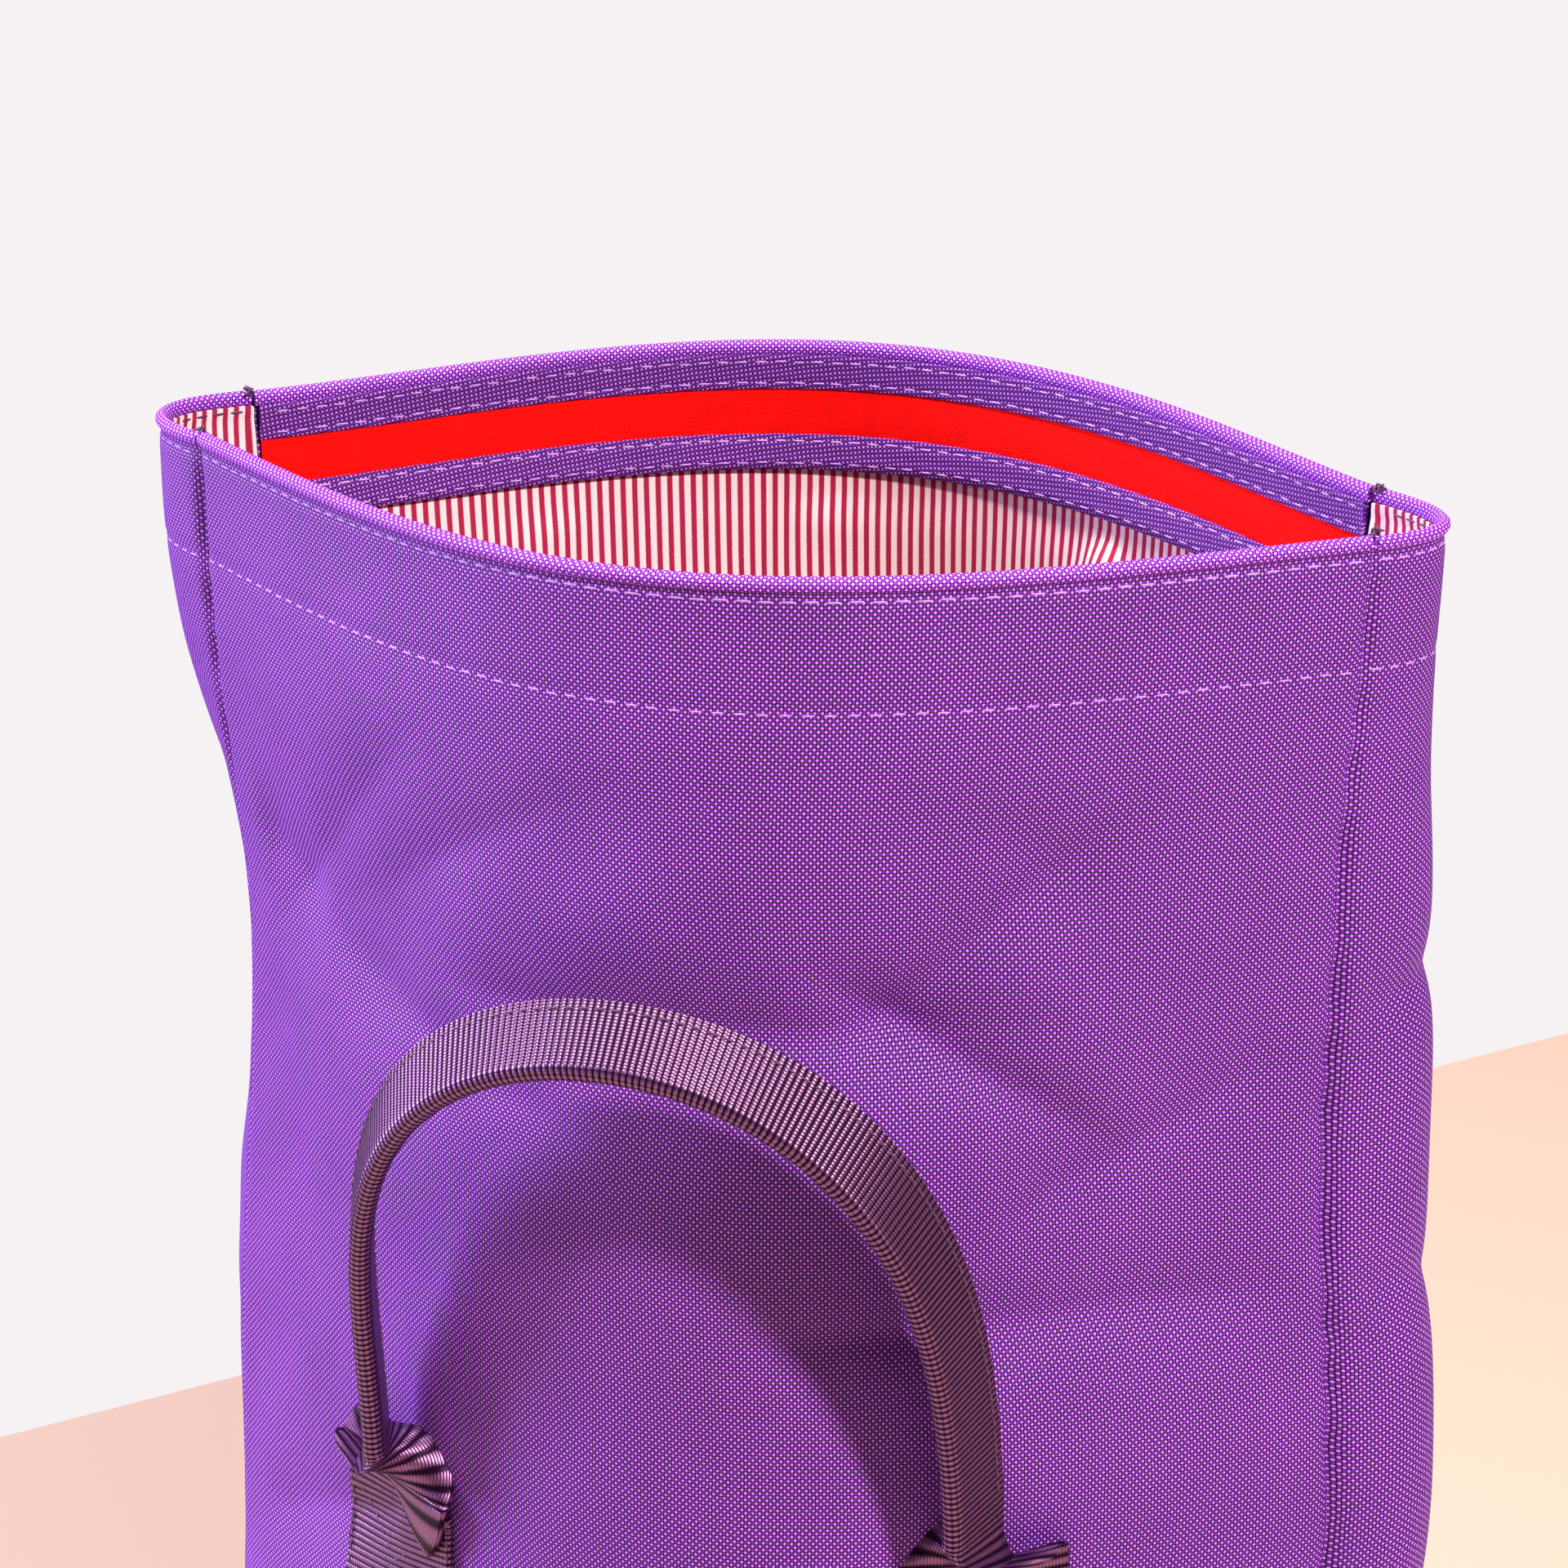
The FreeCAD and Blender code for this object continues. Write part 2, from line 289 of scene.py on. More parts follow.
def lens_side(half):
    """Right gusset: front seam, nose, back seam."""
    gap, shift = size_of("seam_half_gap"), size_of("mouth_shift")
    chord = 2 * math.hypot(shift, gap)
    nose = math.sqrt((size_of("gusset_width") / 2) ** 2 - (chord / 2) ** 2) * 0.84
    t = np.linspace(0.0, 1.0, 61)
    return np.stack([half + shift - 2 * shift * t + nose * np.sin(math.pi * t),
                     -gap + 2 * gap * t], axis=1)


def base_front():
    """Front half of the flat bottom, seam to seam."""
    corner = size_of("base_corner")
    cx, cy = size_of("base_half_length") - corner, size_of("base_half_depth") - corner
    turn = np.radians(np.linspace(180.0, 270.0, 31))
    left = np.stack([-cx + corner * np.cos(turn), -cy + corner * np.sin(turn)], axis=1)
    right = left[::-1] * [-1.0, 1.0]
    return np.concatenate([left, right])


def base_side():
    cy = size_of("base_half_depth") - size_of("base_corner")
    y = np.linspace(-cy, cy, 11)
    return np.stack([np.full(11, size_of("base_half_length")), y], axis=1)


def outline_table(which):
    """Outer edge of one wall at every level, and its inward direction."""
    if which not in OUTLINES:
        wide = is_panel(which)
        low = evenly(base_front() if wide else base_side(), STATIONS)
        rows = []
        for z in np.linspace(0.0, size_of("height"), LEVELS):
            half = seam_half(z)
            high = evenly(lens_front(half) if wide else lens_side(half), STATIONS)
            weight = smooth(z / size_of("base_blend"))
            rows.append(low + (high - low) * weight)
        table = np.array(rows) * (-1.0 if which in ("back", "left") else 1.0)
        along = unit(np.gradient(table, axis=1))
        inward = np.stack([-along[..., 1], along[..., 0]], axis=2)
        OUTLINES[which] = np.concatenate([table, inward], axis=2)
    return OUTLINES[which]


def width_of(which):
    return size_of("panel_width" if is_panel(which) else "gusset_width")


def valley(u, z, middle, level, reach, tilt, depth, width):
    """A soft crease across a wall: a line of sunken cloth with sloping banks."""
    along = u - middle
    away = z - level - tilt * along
    return -depth * np.exp(-(along / reach) ** 4) * np.exp(-np.sqrt(away ** 2 + 2.5) / width)


def ripples(u, z, seed, pitch):
    """Slow, uneven swells of the cloth."""
    random = np.random.default_rng(seed)
    total = np.zeros(np.broadcast(u, z).shape)
    for _ in range(7):
        angle = random.uniform(0.0, math.pi)
        turn = 2 * math.pi / (pitch * random.uniform(0.7, 1.8))
        phase = random.uniform(0.0, 2 * math.pi)
        total = total + np.sin(turn * (u * math.cos(angle) + z * math.sin(angle)) + phase)
    return total / 7


# Creases of each wall: middle along the wall, height, reach, tilt, depth and width of a bank.
CREASES = {
    "front": [
        (14, 291, 62, 0.01, 5.0, 13), (66, 284, 30, -0.6, 4.4, 9),
        (74, 314, 28, 0.8, 3.6, 10), (108, 262, 30, 0.45, 3.4, 12),
        (82, 224, 56, 0.02, 4.4, 12), (-124, 300, 12, -0.4, 1.6, 8),
        (-64, 276, 44, -0.3, 2.4, 14), (-30, 334, 64, 0.55, 2.0, 18),
        (52, 344, 40, -0.5, 1.5, 15), (-90, 322, 40, 0.9, 1.5, 14),
        (40, 110, 70, 0.05, 2.8, 16), (-70, 80, 50, -0.12, 2.4, 14),
        (104, 60, 34, 0.3, 2.4, 12), (-104, 150, 30, 0.4, 2.0, 12),
    ],
    "back": [
        (-8, 287, 70, -0.02, 3.1, 13), (-72, 300, 26, 0.6, 1.9, 10),
        (64, 262, 30, -0.5, 2.0, 11), (30, 214, 60, 0.04, 2.4, 13),
        (-60, 120, 60, -0.06, 2.2, 15), (84, 90, 40, 0.2, 1.9, 13),
        (-106, 58, 34, -0.3, 1.9, 12), (110, 170, 30, -0.4, 1.6, 12),
    ],
    "right": [
        (0, 292, 30, 0.25, 2.8, 9), (-4, 222, 30, -0.2, 1.9, 9),
        (2, 120, 30, 0.2, 2.0, 12), (0, 60, 30, -0.15, 1.8, 12),
    ],
    "left": [
        (0, 300, 30, -0.3, 3.6, 9), (4, 268, 30, 0.3, 2.6, 8),
        (0, 140, 30, 0.2, 2.0, 12), (-3, 72, 30, -0.2, 1.8, 12),
    ],
}


def relief(which, s, z):
    """How far the cloth stands out from its plain line: creases, seams and hem pinches."""
    height, width = size_of("height"), width_of(which)
    u = (s - 0.5) * width
    wide = is_panel(which)
    quiet = smooth((height - 34 - z) / 40.0) * smooth(z / 30.0)
    total = quiet * CREASE_SHARE * sum(valley(u, z, *crease) for crease in CREASES[which])
    seed = {"front": 5, "back": 11, "right": 17, "left": 23}[which]
    swell = (0.25 + 0.75 * quiet) * (1.7 if wide else 0.9)
    total = total + swell * ripples(u, z, seed, SWELL_PITCH)
    total = total + quiet * 0.5 * ripples(u, z, seed + 1, SMALL_SWELL_PITCH)
    edge = np.minimum(s, 1.0 - s) * width
    total = total * smooth(edge / 16.0)
    pucker = 1.0 + 0.35 * np.sin(z / 3.1 + np.sin(z / 11.0) * 2.0)
    below_lip = smooth((height - 1.0 - z) / 10.0) * 0.75 + 0.25
    total = total - below_lip * (1.25 * pucker * hump(edge, 1.6) - 0.15 * hump(edge - 4.5, 2.6))
    stitched = (hump(z - (height - RIM_ROW), 0.9) * 0.3
                + hump(z - (height - HEM_ROW), 1.0) * 0.34)
    roll = 0.45 * hump(z - (height - 0.9), 2.0) - 0.55 * hump(z - (height - 3.6), 0.7)
    total = total - stitched + roll
    # The right gusset is pushed out and the left one sinks in, as the bag leans a little.
    if not wide:
        low = smooth((height - 20.0 - z) / 100.0) * (0.25 + 0.75 * smooth(z / 150.0))
        push = 2.2 + 8.0 * low if which == "right" else 3.0 - 9.5 * low
        total = total + push * np.sin(math.pi * np.clip(s, 0.0, 1.0)) ** 0.8
    return total - 3.2 * np.clip(1.0 - z / 7.0, 0.0, 1.0) ** 2


def rim_rise(which, s, z):
    """The middle of the front rim dips and the middle of the back rim stands up."""
    lift = {"front": -3.2, "back": 8.2}.get(which, 0.0)
    height = size_of("height")
    return lift * np.sin(math.pi * s) ** 1.3 * smooth((z - height + 190.0) / 190.0)


def wall_points(which, s, z, depth):
    """Points on a wall, some depth under its outer face, with all its creases."""
    s, z, depth = np.broadcast_arrays(*(np.asarray(v, float) for v in (s, z, depth)))
    row = np.clip(z / size_of("height"), 0.0, 1.0) * (LEVELS - 1)
    column = np.clip(s, 0.0, 1.0) * (STATIONS - 1)
    found = between(outline_table(which), row, column)
    sunk = (depth - relief(which, s, z))[..., None]
    flat = found[..., :2] + unit(found[..., 2:]) * sunk
    flat[..., 0] += LEAN * smooth((size_of("height") - 50.0 - z) / 60.0) * smooth(z / 120.0)
    return np.concatenate([flat, (z + rim_rise(which, s, z))[..., None]], axis=-1)


def spaced(start, end, step, fine_step, fine_run):
    """Places from start to end, closer together near both ends."""
    fine_low = np.arange(start, start + fine_run, fine_step)
    fine_high = np.arange(end, end - fine_run, -fine_step)[::-1]
    middle = np.linspace(fine_low[-1], fine_high[0],
                         max(2, round((fine_high[0] - fine_low[-1]) / step)))
    return np.concatenate([fine_low, middle[1:-1], fine_high])


# ---- making meshes -------------------------------------------------------

def nothing_selected():
    if bpy.context.object and bpy.context.object.mode != "OBJECT":
        bpy.ops.object.mode_set(mode="OBJECT")
    bpy.ops.object.select_all(action="DESELECT")


def only(piece):
    nothing_selected()
    piece.select_set(True)
    bpy.context.view_layer.objects.active = piece


def cloth_grid(name, points, uv):
    """A grid of faces laid through rows of points, with its own UV map in metres."""
    rows, columns = points.shape[:2]
    nothing_selected()
    bpy.ops.mesh.primitive_grid_add(x_subdivisions=columns - 1, y_subdivisions=rows - 1,
                                    size=1.0)
    piece = bpy.context.object
    piece.name = piece.data.name = name
    mesh = piece.data
    mesh.vertices.foreach_set("co", (points.reshape(-1, 3) * MM).ravel())
    corner = np.zeros(len(mesh.loops), np.int32)
    mesh.loops.foreach_get("vertex_index", corner)
    mesh.uv_layers.active.data.foreach_set("uv", (uv.reshape(-1, 2)[corner] * MM).ravel())
    mesh.update()
    return piece


def edit_whole(piece, *steps):
    """Runs steps one after another on all of a piece, in edit mode."""
    only(piece)
    bpy.ops.object.mode_set(mode="EDIT")
    for step in steps:
        bpy.ops.mesh.select_all(action="SELECT")
        step()
    bpy.ops.object.mode_set(mode="OBJECT")


def weld():
    bpy.ops.mesh.remove_doubles(threshold=WELD)


def close_holes():
    bpy.ops.mesh.fill_holes(sides=0)


def face_outward():
    bpy.ops.mesh.normals_make_consistent(inside=False)


def face_up(piece):
    """Turns a flat sheet over if it faces down."""
    if piece.data.polygons[0].normal.z < 0:
        edit_whole(piece, bpy.ops.mesh.flip_normals)


def thicken(piece, thickness):
    """Gives a sheet its thickness, on the side away from its normals."""
    solid = piece.modifiers.new("thickness", "SOLIDIFY")
    solid.thickness = thickness * MM
    solid.offset = -1.0
    only(piece)
    bpy.ops.object.modifier_apply(modifier=solid.name)


def finish_smooth(piece, degrees=40.0):
    only(piece)
    bpy.ops.object.shade_smooth_by_angle(angle=math.radians(degrees))


def close_tube(piece, degrees):
    """Joins the first and last columns of a wrapped grid, closes its ends and smooths it."""
    edit_whole(piece, weld, close_holes, face_outward)
    finish_smooth(piece, degrees)


def wall_sheet(name, which, bottom, top, depth, thickness, trim, extra=None):
    """A layer of cloth on one wall, trimmed a little at both seams."""
    width = width_of(which)
    u = spaced(trim, width - trim, 2.0, 0.7, 7.0)
    z = spaced(bottom, top, 2.0, 0.8, 6.0)
    s, level = np.meshgrid(u / width, z)
    under = depth + (extra(s, level) if extra else 0.0)
    uv = np.stack([s * width, level], axis=-1)
    piece = cloth_grid(name, wall_points(which, s, level, under), uv)
    thicken(piece, thickness)
    finish_smooth(piece)
    return piece


def wall_band(name, which, profile, trim):
    """A closed profile of (height, depth) points, swept along one wall."""
    width = width_of(which)
    u = spaced(trim, width - trim, 1.6, 0.8, 4.0)
    profile = np.array(list(profile) + [profile[0]], float)
    s = np.repeat((u / width)[:, None], len(profile), axis=1)
    level = np.repeat(profile[None, :, 0], len(u), axis=0)
    depth = np.repeat(profile[None, :, 1], len(u), axis=0)
    around = np.repeat(run_of(profile)[None, :], len(u), axis=0)
    uv = np.stack([s * width, around], axis=-1)
    piece = cloth_grid(name, wall_points(which, s, level, depth), uv)
    close_tube(piece, 60.0)
    return piece


def stitches(name, places, along, outward, length, radius):
    """Many small stitches: one rounded bead of thread, copied to each place."""
    nothing_selected()
    bpy.ops.mesh.primitive_uv_sphere_add(segments=6, ring_count=6, radius=1.0)
    bead = bpy.context.object
    shape = np.array([v.co for v in bead.data.vertices])
    faces = [list(p.vertices) for p in bead.data.polygons]
    bpy.data.objects.remove(bead, do_unlink=True)
    # The bead lies along its own Z. Its ends dip into the cloth like a sewn stitch.
    stretch = np.sign(shape[:, 2]) * np.abs(shape[:, 2]) ** 0.8
    third = np.cross(along, outward)
    dip = -0.9 * radius * shape[:, 2] ** 4
    vertices = (places[:, None] + along[:, None] * (stretch * length / 2)[None, :, None]
                + outward[:, None] * (shape[:, 0] * radius + dip)[None, :, None]
                + third[:, None] * (shape[:, 1] * radius)[None, :, None])
    count = len(shape)
    nothing_selected()
    mesh = bpy.data.meshes.new(name)
    mesh.from_pydata(
        (vertices.reshape(-1, 3) * MM).tolist(), [],
        [[v + count * k for v in face] for k in range(len(places)) for face in faces])
    mesh.update()
    piece = bpy.data.objects.new(name, mesh)
    bpy.context.scene.collection.objects.link(piece)
    edit_whole(piece, face_outward)
    finish_smooth(piece, 180.0)
    return piece


def wall_row(which, level, depth, trim, inside=False):
    """Places and directions for a row of stitches along one wall."""
    width, pitch = width_of(which), size_of("stitch_pitch")
    u = np.arange(trim + pitch / 2, width - trim - pitch / 2, pitch)
    random = np.random.default_rng(int(level * 10) + len(which))
    s = (u + random.uniform(-0.15, 0.15, len(u))) / width
    z = level + random.uniform(-0.12, 0.12, len(u))
    places = wall_points(which, s, z, depth)
    near = 0.004
    along = unit(wall_points(which, s + near, z, depth)
                 - wall_points(which, s - near, z, depth))
    up = unit(wall_points(which, s, z + 1.0, depth) - wall_points(which, s, z - 1.0, depth))
    outward = unit(np.cross(along, up)) * (-1.0 if inside else 1.0)
    return places, along, outward


def joined_rows(rows):
    return tuple(np.concatenate(parts) for parts in zip(*rows))


# ---- materials -----------------------------------------------------------

def linear(code):
    """An sRGB hex code as linear light."""
    channels = [int(code.lstrip("#")[i:i + 2], 16) / 255 for i in (0, 2, 4)]
    return tuple(c / 12.92 if c <= 0.04045 else ((c + 0.055) / 1.055) ** 2.4
                 for c in channels) + (1.0,)


def feed(tree, node, sockets):
    """Gives each socket its value, or links it to the node or output that feeds it."""
    for key, value in sockets.items():
        if isinstance(value, bpy.types.Node):
            value = value.outputs[0]
        if isinstance(value, bpy.types.NodeSocket):
            tree.links.new(value, node.inputs[key])
        else:
            node.inputs[key].default_value = value


def add(tree, kind, sockets=None, **settings):
    """Adds a node with its settings, values and links."""
    node = tree.nodes.new("ShaderNode" + kind)
    for key, value in settings.items():
        setattr(node, key, value)
    feed(tree, node, sockets or {})
    return node


def ramp(tree, factor, stops):
    """A blend from one sRGB colour to another, between two places."""
    node = add(tree, "ValToRGB", {0: factor})
    for element, (place, code) in zip(node.color_ramp.elements, stops):
        element.position = place
        element.color = linear(code)
    return node


def new_finish(name):
    """An empty material with its shader and output."""
    finish = bpy.data.materials.new(name)
    finish.use_nodes = True
    tree = finish.node_tree
    tree.nodes.clear()
    shader = add(tree, "BsdfPrincipled")
    add(tree, "OutputMaterial", {"Surface": shader})
    return finish, tree, shader


def plain_weave(tree, pitch, angle=0.0):
    """Threads over and under each other: which thread is on top, and how high it stands."""
    place = add(tree, "Mapping", {
        "Vector": add(tree, "TexCoord").outputs["UV"],
        "Rotation": (0.0, 0.0, math.radians(angle)),
        "Scale": (math.pi / (pitch * MM), math.pi / (pitch * MM), 1.0)})
    wander = add(tree, "TexNoise", {"Vector": place, "Scale": 0.05, "Detail": 1.0})
    drift = add(tree, "VectorMath", {0: wander.outputs["Color"], 1: (1.6, 1.6, 0.0)},
                operation="MULTIPLY")
    placed = add(tree, "VectorMath", {0: place, 1: drift}, operation="ADD")
    split = add(tree, "SeparateXYZ", {0: placed})
    across = add(tree, "Math", {0: split.outputs[0]}, operation="SINE")
    up = add(tree, "Math", {0: split.outputs[1]}, operation="SINE")
    both = add(tree, "Math", {0: across, 1: up}, operation="MULTIPLY")
    warp_on_top = add(tree, "Math", {0: both, 1: 0.0}, operation="GREATER_THAN")
    warp = add(tree, "Math", {0: across}, operation="ABSOLUTE")
    weft = add(tree, "Math", {0: up}, operation="ABSOLUTE")
    along = add(tree, "Mix", {0: warp_on_top, 2: warp, 3: weft})
    thick = add(tree, "Mix", {0: warp_on_top, 2: weft, 3: warp})
    crown = add(tree, "Math", {0: thick, 1: 0.6}, operation="POWER")
    arch = add(tree, "Math", {0: along, 1: 0.65, 2: 0.35}, operation="MULTIPLY_ADD")
    height = add(tree, "Math", {0: crown, 1: arch}, operation="MULTIPLY")
    return placed, warp_on_top, height


def shell_cloth(name, angle=0.0, shade=1.0):
    """Polyester, plain woven from 0.7 mm threads: each thread is a small satin ridge, painted
    dark towards the gap beside it as painted shade, and the warp is painted lighter than the
    weft as a painted sheen. Drawn at 0.76 mm so that the threads still show."""
    c = colours()
    finish, tree, shader = new_finish(name)
    placed, warp_on_top, height = plain_weave(tree, 0.76, angle)
    # Painted shade in the gaps between the threads, and a painted sheen that makes the warp
    # lighter.
    weft_side = ramp(tree, height, [(0.32, c.cloth_gap), (0.84, c.cloth_weft)])
    warp_side_with_painted_sheen = ramp(tree, height, [(0.32, c.cloth_gap), (0.88, c.cloth_warp_with_painted_sheen)])
    threads = add(tree, "Mix", {0: warp_on_top, 6: weft_side, 7: warp_side_with_painted_sheen}, data_type="RGBA")
    clouds = add(tree, "TexNoise", {"Vector": add(tree, "TexCoord").outputs["Object"],
                                    "Scale": 38.0, "Detail": 3.0})
    strands = add(tree, "TexNoise", {"Vector": placed, "Scale": 0.3, "Detail": 2.0})
    # shade scales the whole colour; the lip's shade of 1.8 is a painted highlight of the top
    # light on the rolled edge.
    tone = add(tree, "MapRange", {0: clouds, 1: 0.3, 2: 0.7, 3: 0.93 * shade, 4: 1.07 * shade})
    grain = add(tree, "MapRange", {0: strands, 1: 0.25, 2: 0.75, 3: 0.84, 4: 1.16})
    light = add(tree, "Math", {0: tone, 1: grain}, operation="MULTIPLY")
    colour = add(tree, "VectorMath", {0: threads.outputs[2], 3: light}, operation="SCALE")
    bump = add(tree, "Bump", {"Height": height, "Strength": 0.55, "Distance": 0.22 * MM})
    rough = add(tree, "MapRange", {0: height, 3: 0.72, 4: 0.46})
    feed(tree, shader, {"Base Color": colour, "Roughness": rough, "Normal": bump, "IOR": 1.5,
                        "Specular IOR Level": 0.18, "Sheen Weight": 0.09,
                        "Sheen Roughness": 0.35, "Sheen Tint": linear("#9050ff")})
    return finish


def striped_cotton(name):
    """Thin printed cotton: red and white stripes, 2.83 mm from one to the next, with
    slightly soft edges, matt."""
    c = colours()
    finish, tree, shader = new_finish(name)
    uv = add(tree, "TexCoord").outputs["UV"]
    split = add(tree, "SeparateXYZ", {0: uv})
    half_pitch = 1.415 * MM
    wave = add(tree, "Math", {0: split.outputs[0], 1: half_pitch}, operation="PINGPONG")
    level = add(tree, "Math", {0: wave, 1: half_pitch}, operation="DIVIDE")
    fibre = add(tree, "TexNoise", {"Vector": uv, "Scale": 2600.0, "Detail": 2.0})
    ragged = add(tree, "Math", {0: fibre, 1: 0.18, 2: -0.09}, operation="MULTIPLY_ADD")
    edge = add(tree, "Math", {0: level, 1: ragged}, operation="ADD")
    stripes = ramp(tree, edge, [(0.44, c.stripe_light), (0.6, c.stripe_dark)])
    tone = add(tree, "MapRange", {0: fibre, 1: 0.25, 2: 0.75, 3: 0.76, 4: 0.91})
    colour = add(tree, "VectorMath", {0: stripes, 3: tone}, operation="SCALE")
    bump = add(tree, "Bump", {"Height": fibre, "Strength": 0.35, "Distance": 0.12 * MM})
    feed(tree, shader, {"Base Color": colour, "Normal": bump, "Roughness": 0.82,
                        "Specular IOR Level": 0.25})
    return finish


def pile_tape(name, code, pile, hard):
    """Nylon fastening tape: a low pile of loops or hooks, mottled, with a soft sheen."""
    finish, tree, shader = new_finish(name)
    uv = add(tree, "TexCoord").outputs["UV"]
    fuzz = add(tree, "TexNoise", {"Vector": uv, "Scale": 1000.0 / pile, "Detail": 4.0,
                                  "Roughness": 0.7})
    patches = add(tree, "TexNoise", {"Vector": uv, "Scale": 140.0, "Detail": 3.0})
    blend = add(tree, "Math", {0: patches, 1: 0.55, 2: fuzz}, operation="MULTIPLY_ADD")
    tone = add(tree, "MapRange", {0: blend, 1: 0.5, 2: 1.05, 3: 0.62, 4: 1.12})
    colour = add(tree, "VectorMath", {0: linear(code)[:3], 3: tone}, operation="SCALE")
    bump = add(tree, "Bump", {"Height": fuzz, "Strength": 0.8, "Distance": 0.35 * MM})
    feed(tree, shader, {"Base Color": colour, "Normal": bump,
                        "Roughness": 0.45 if hard else 0.8,
                        "Specular IOR Level": 0.4 if hard else 0.08,
                        "Sheen Weight": 0.1, "Sheen Tint": linear("#ff2010")})
    return finish


def ribbed_webbing(name):
    """Polyester webbing: ribs 1.5 mm apart across the strap, each a row of 0.75 mm beads.
    Only the tops of the ribs shine, and the gaps between them are painted dark as shade."""
    c = colours()
    finish, tree, shader = new_finish(name)
    uv = add(tree, "TexCoord").outputs["UV"]
    split = add(tree, "SeparateXYZ", {0: uv})
    beads = add(tree, "Math", {0: split.outputs[0], 1: math.pi / (0.75 * MM)},
                operation="MULTIPLY")
    bead = add(tree, "Math", {0: add(tree, "Math", {0: beads}, operation="SINE")},
               operation="ABSOLUTE")
    ribs = add(tree, "Math", {0: split.outputs[1], 1: math.pi / (RIB_PITCH * MM)},
               operation="MULTIPLY")
    rib = add(tree, "Math", {0: add(tree, "Math", {0: ribs}, operation="SINE")},
              operation="ABSOLUTE")
    level = add(tree, "Math", {0: bead, 1: 0.5, 2: 0.5}, operation="MULTIPLY_ADD")
    height = add(tree, "Math", {0: rib, 1: level}, operation="MULTIPLY")
    fleck = add(tree, "TexNoise", {"Vector": uv, "Scale": 900.0, "Detail": 2.0})
    tone = add(tree, "MapRange", {0: fleck, 1: 0.3, 2: 0.7, 3: 0.86, 4: 1.12})
    # The ribs are painted dark towards their gaps: painted shade between the ribs.
    shade = ramp(tree, height, [(0.45, c.webbing_gap), (0.85, c.webbing_rib)])
    colour = add(tree, "VectorMath", {0: shade, 3: tone}, operation="SCALE")
    bump = add(tree, "Bump", {"Height": height, "Strength": 0.6, "Distance": 0.25 * MM})
    gloss = add(tree, "MapRange", {0: height, 1: 0.36, 2: 0.8, 3: 0.03, 4: 1.0})
    feed(tree, shader, {"Base Color": colour, "Normal": bump, "Specular IOR Level": gloss,
                        "Roughness": 0.4, "IOR": 2.0, "Specular Tint": linear("#ffb4ff")})
    return finish


def grained(name, code, scale, detail, tones, bump, **look):
    """A plain colour, mottled and roughened by one fine noise that sits on the piece.
    The tones are the MapRange limits, and the bump is its strength and its depth in mm."""
    finish, tree, shader = new_finish(name)
    where = add(tree, "TexCoord").outputs["Object"]
    grain = add(tree, "TexNoise", {"Vector": where, "Scale": scale, "Detail": detail})
    tone = add(tree, "MapRange", {0: grain, **tones})
    colour = add(tree, "VectorMath", {0: linear(code)[:3], 3: tone}, operation="SCALE")
    feed(tree, shader, {"Base Color": colour, **look})
    if bump:
        feed(tree, shader, {"Normal": add(tree, "Bump", {
            "Height": grain, "Strength": bump[0], "Distance": bump[1] * MM})})
    return finish


def twisted_thread(name, code):
    """Polyester sewing thread: satin, with a fine twist along each stitch."""
    return grained(name, code, 1800.0, 1.0, {1: 0.3, 2: 0.7, 3: 0.75, 4: 1.15}, (0.4, 0.08),
                   **{"Roughness": 0.5, "Sheen Weight": 0.2})


def moulded_board(name):
    """Extruded polyethylene sheet: dull, with a fine pebbled skin."""
    return grained(name, colours().board, 900.0, 3.0, {3: 0.7, 4: 1.3}, (0.3, 0.1),
                   Roughness=0.6)


def table_paper(name):
    """Matt paper with a faint tooth."""
    return grained(name, colours().floor, 700.0, 3.0, {3: 0.97, 4: 1.03}, None,
                   Roughness=0.9)


def finish_of(name):
    """Each finish is made once and shared."""
    makers = {
        "violet shell cloth": shell_cloth,
        # The lip is painted 1.8 times lighter than the walls: a painted highlight where the top
        # light falls on the rolled edge.
        "violet lip cloth with painted top light": lambda n: shell_cloth(n, 0.0, 1.8),
        "violet facing cloth": lambda n: shell_cloth(n, 38.0, 0.9),
        "striped lining": striped_cotton,
        "red loop tape": lambda n: pile_tape(n, colours().loop_pile, 0.55, False),
        "red hook tape": lambda n: pile_tape(n, colours().hook_pile, 0.9, True),
        "ribbed webbing": ribbed_webbing,
        "lilac thread": lambda n: twisted_thread(n, colours().thread),
        "plum thread": lambda n: twisted_thread(n, colours().dark_thread),
        "base board": moulded_board,
    }
    if name not in FINISHES:
        FINISHES[name] = makers[name](name)
    return FINISHES[name]


def dress(piece, finish, body="bag", nodes=()):
    """Finish, body, slot and the frame parts that a piece stands for."""
    piece.data.materials.clear()
    piece.data.materials.append(finish_of(finish))
    if body:
        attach(piece, body)
    if nodes:
        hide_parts(*nodes)


# ---- pieces --------------------------------------------------------------

class BAG_OT_shell(bpy.types.Operator):
    """Make the outer cloth of the four walls"""
    bl_idname = "bag.make_shell"
    bl_label = "Outer cloth"

    def execute(self, context):
        top = size_of("height") - SHELL_EDGE
        for which in WALLS:
            piece = wall_sheet(part_name(which, "cloth"), which, 0.0, top, 0.0,
                               SHELL_THICK, 0.05)
            node = which + ("_panel" if is_panel(which) else "_gusset")
            dress(piece, "violet shell cloth", nodes=[node])
        return {"FINISHED"}


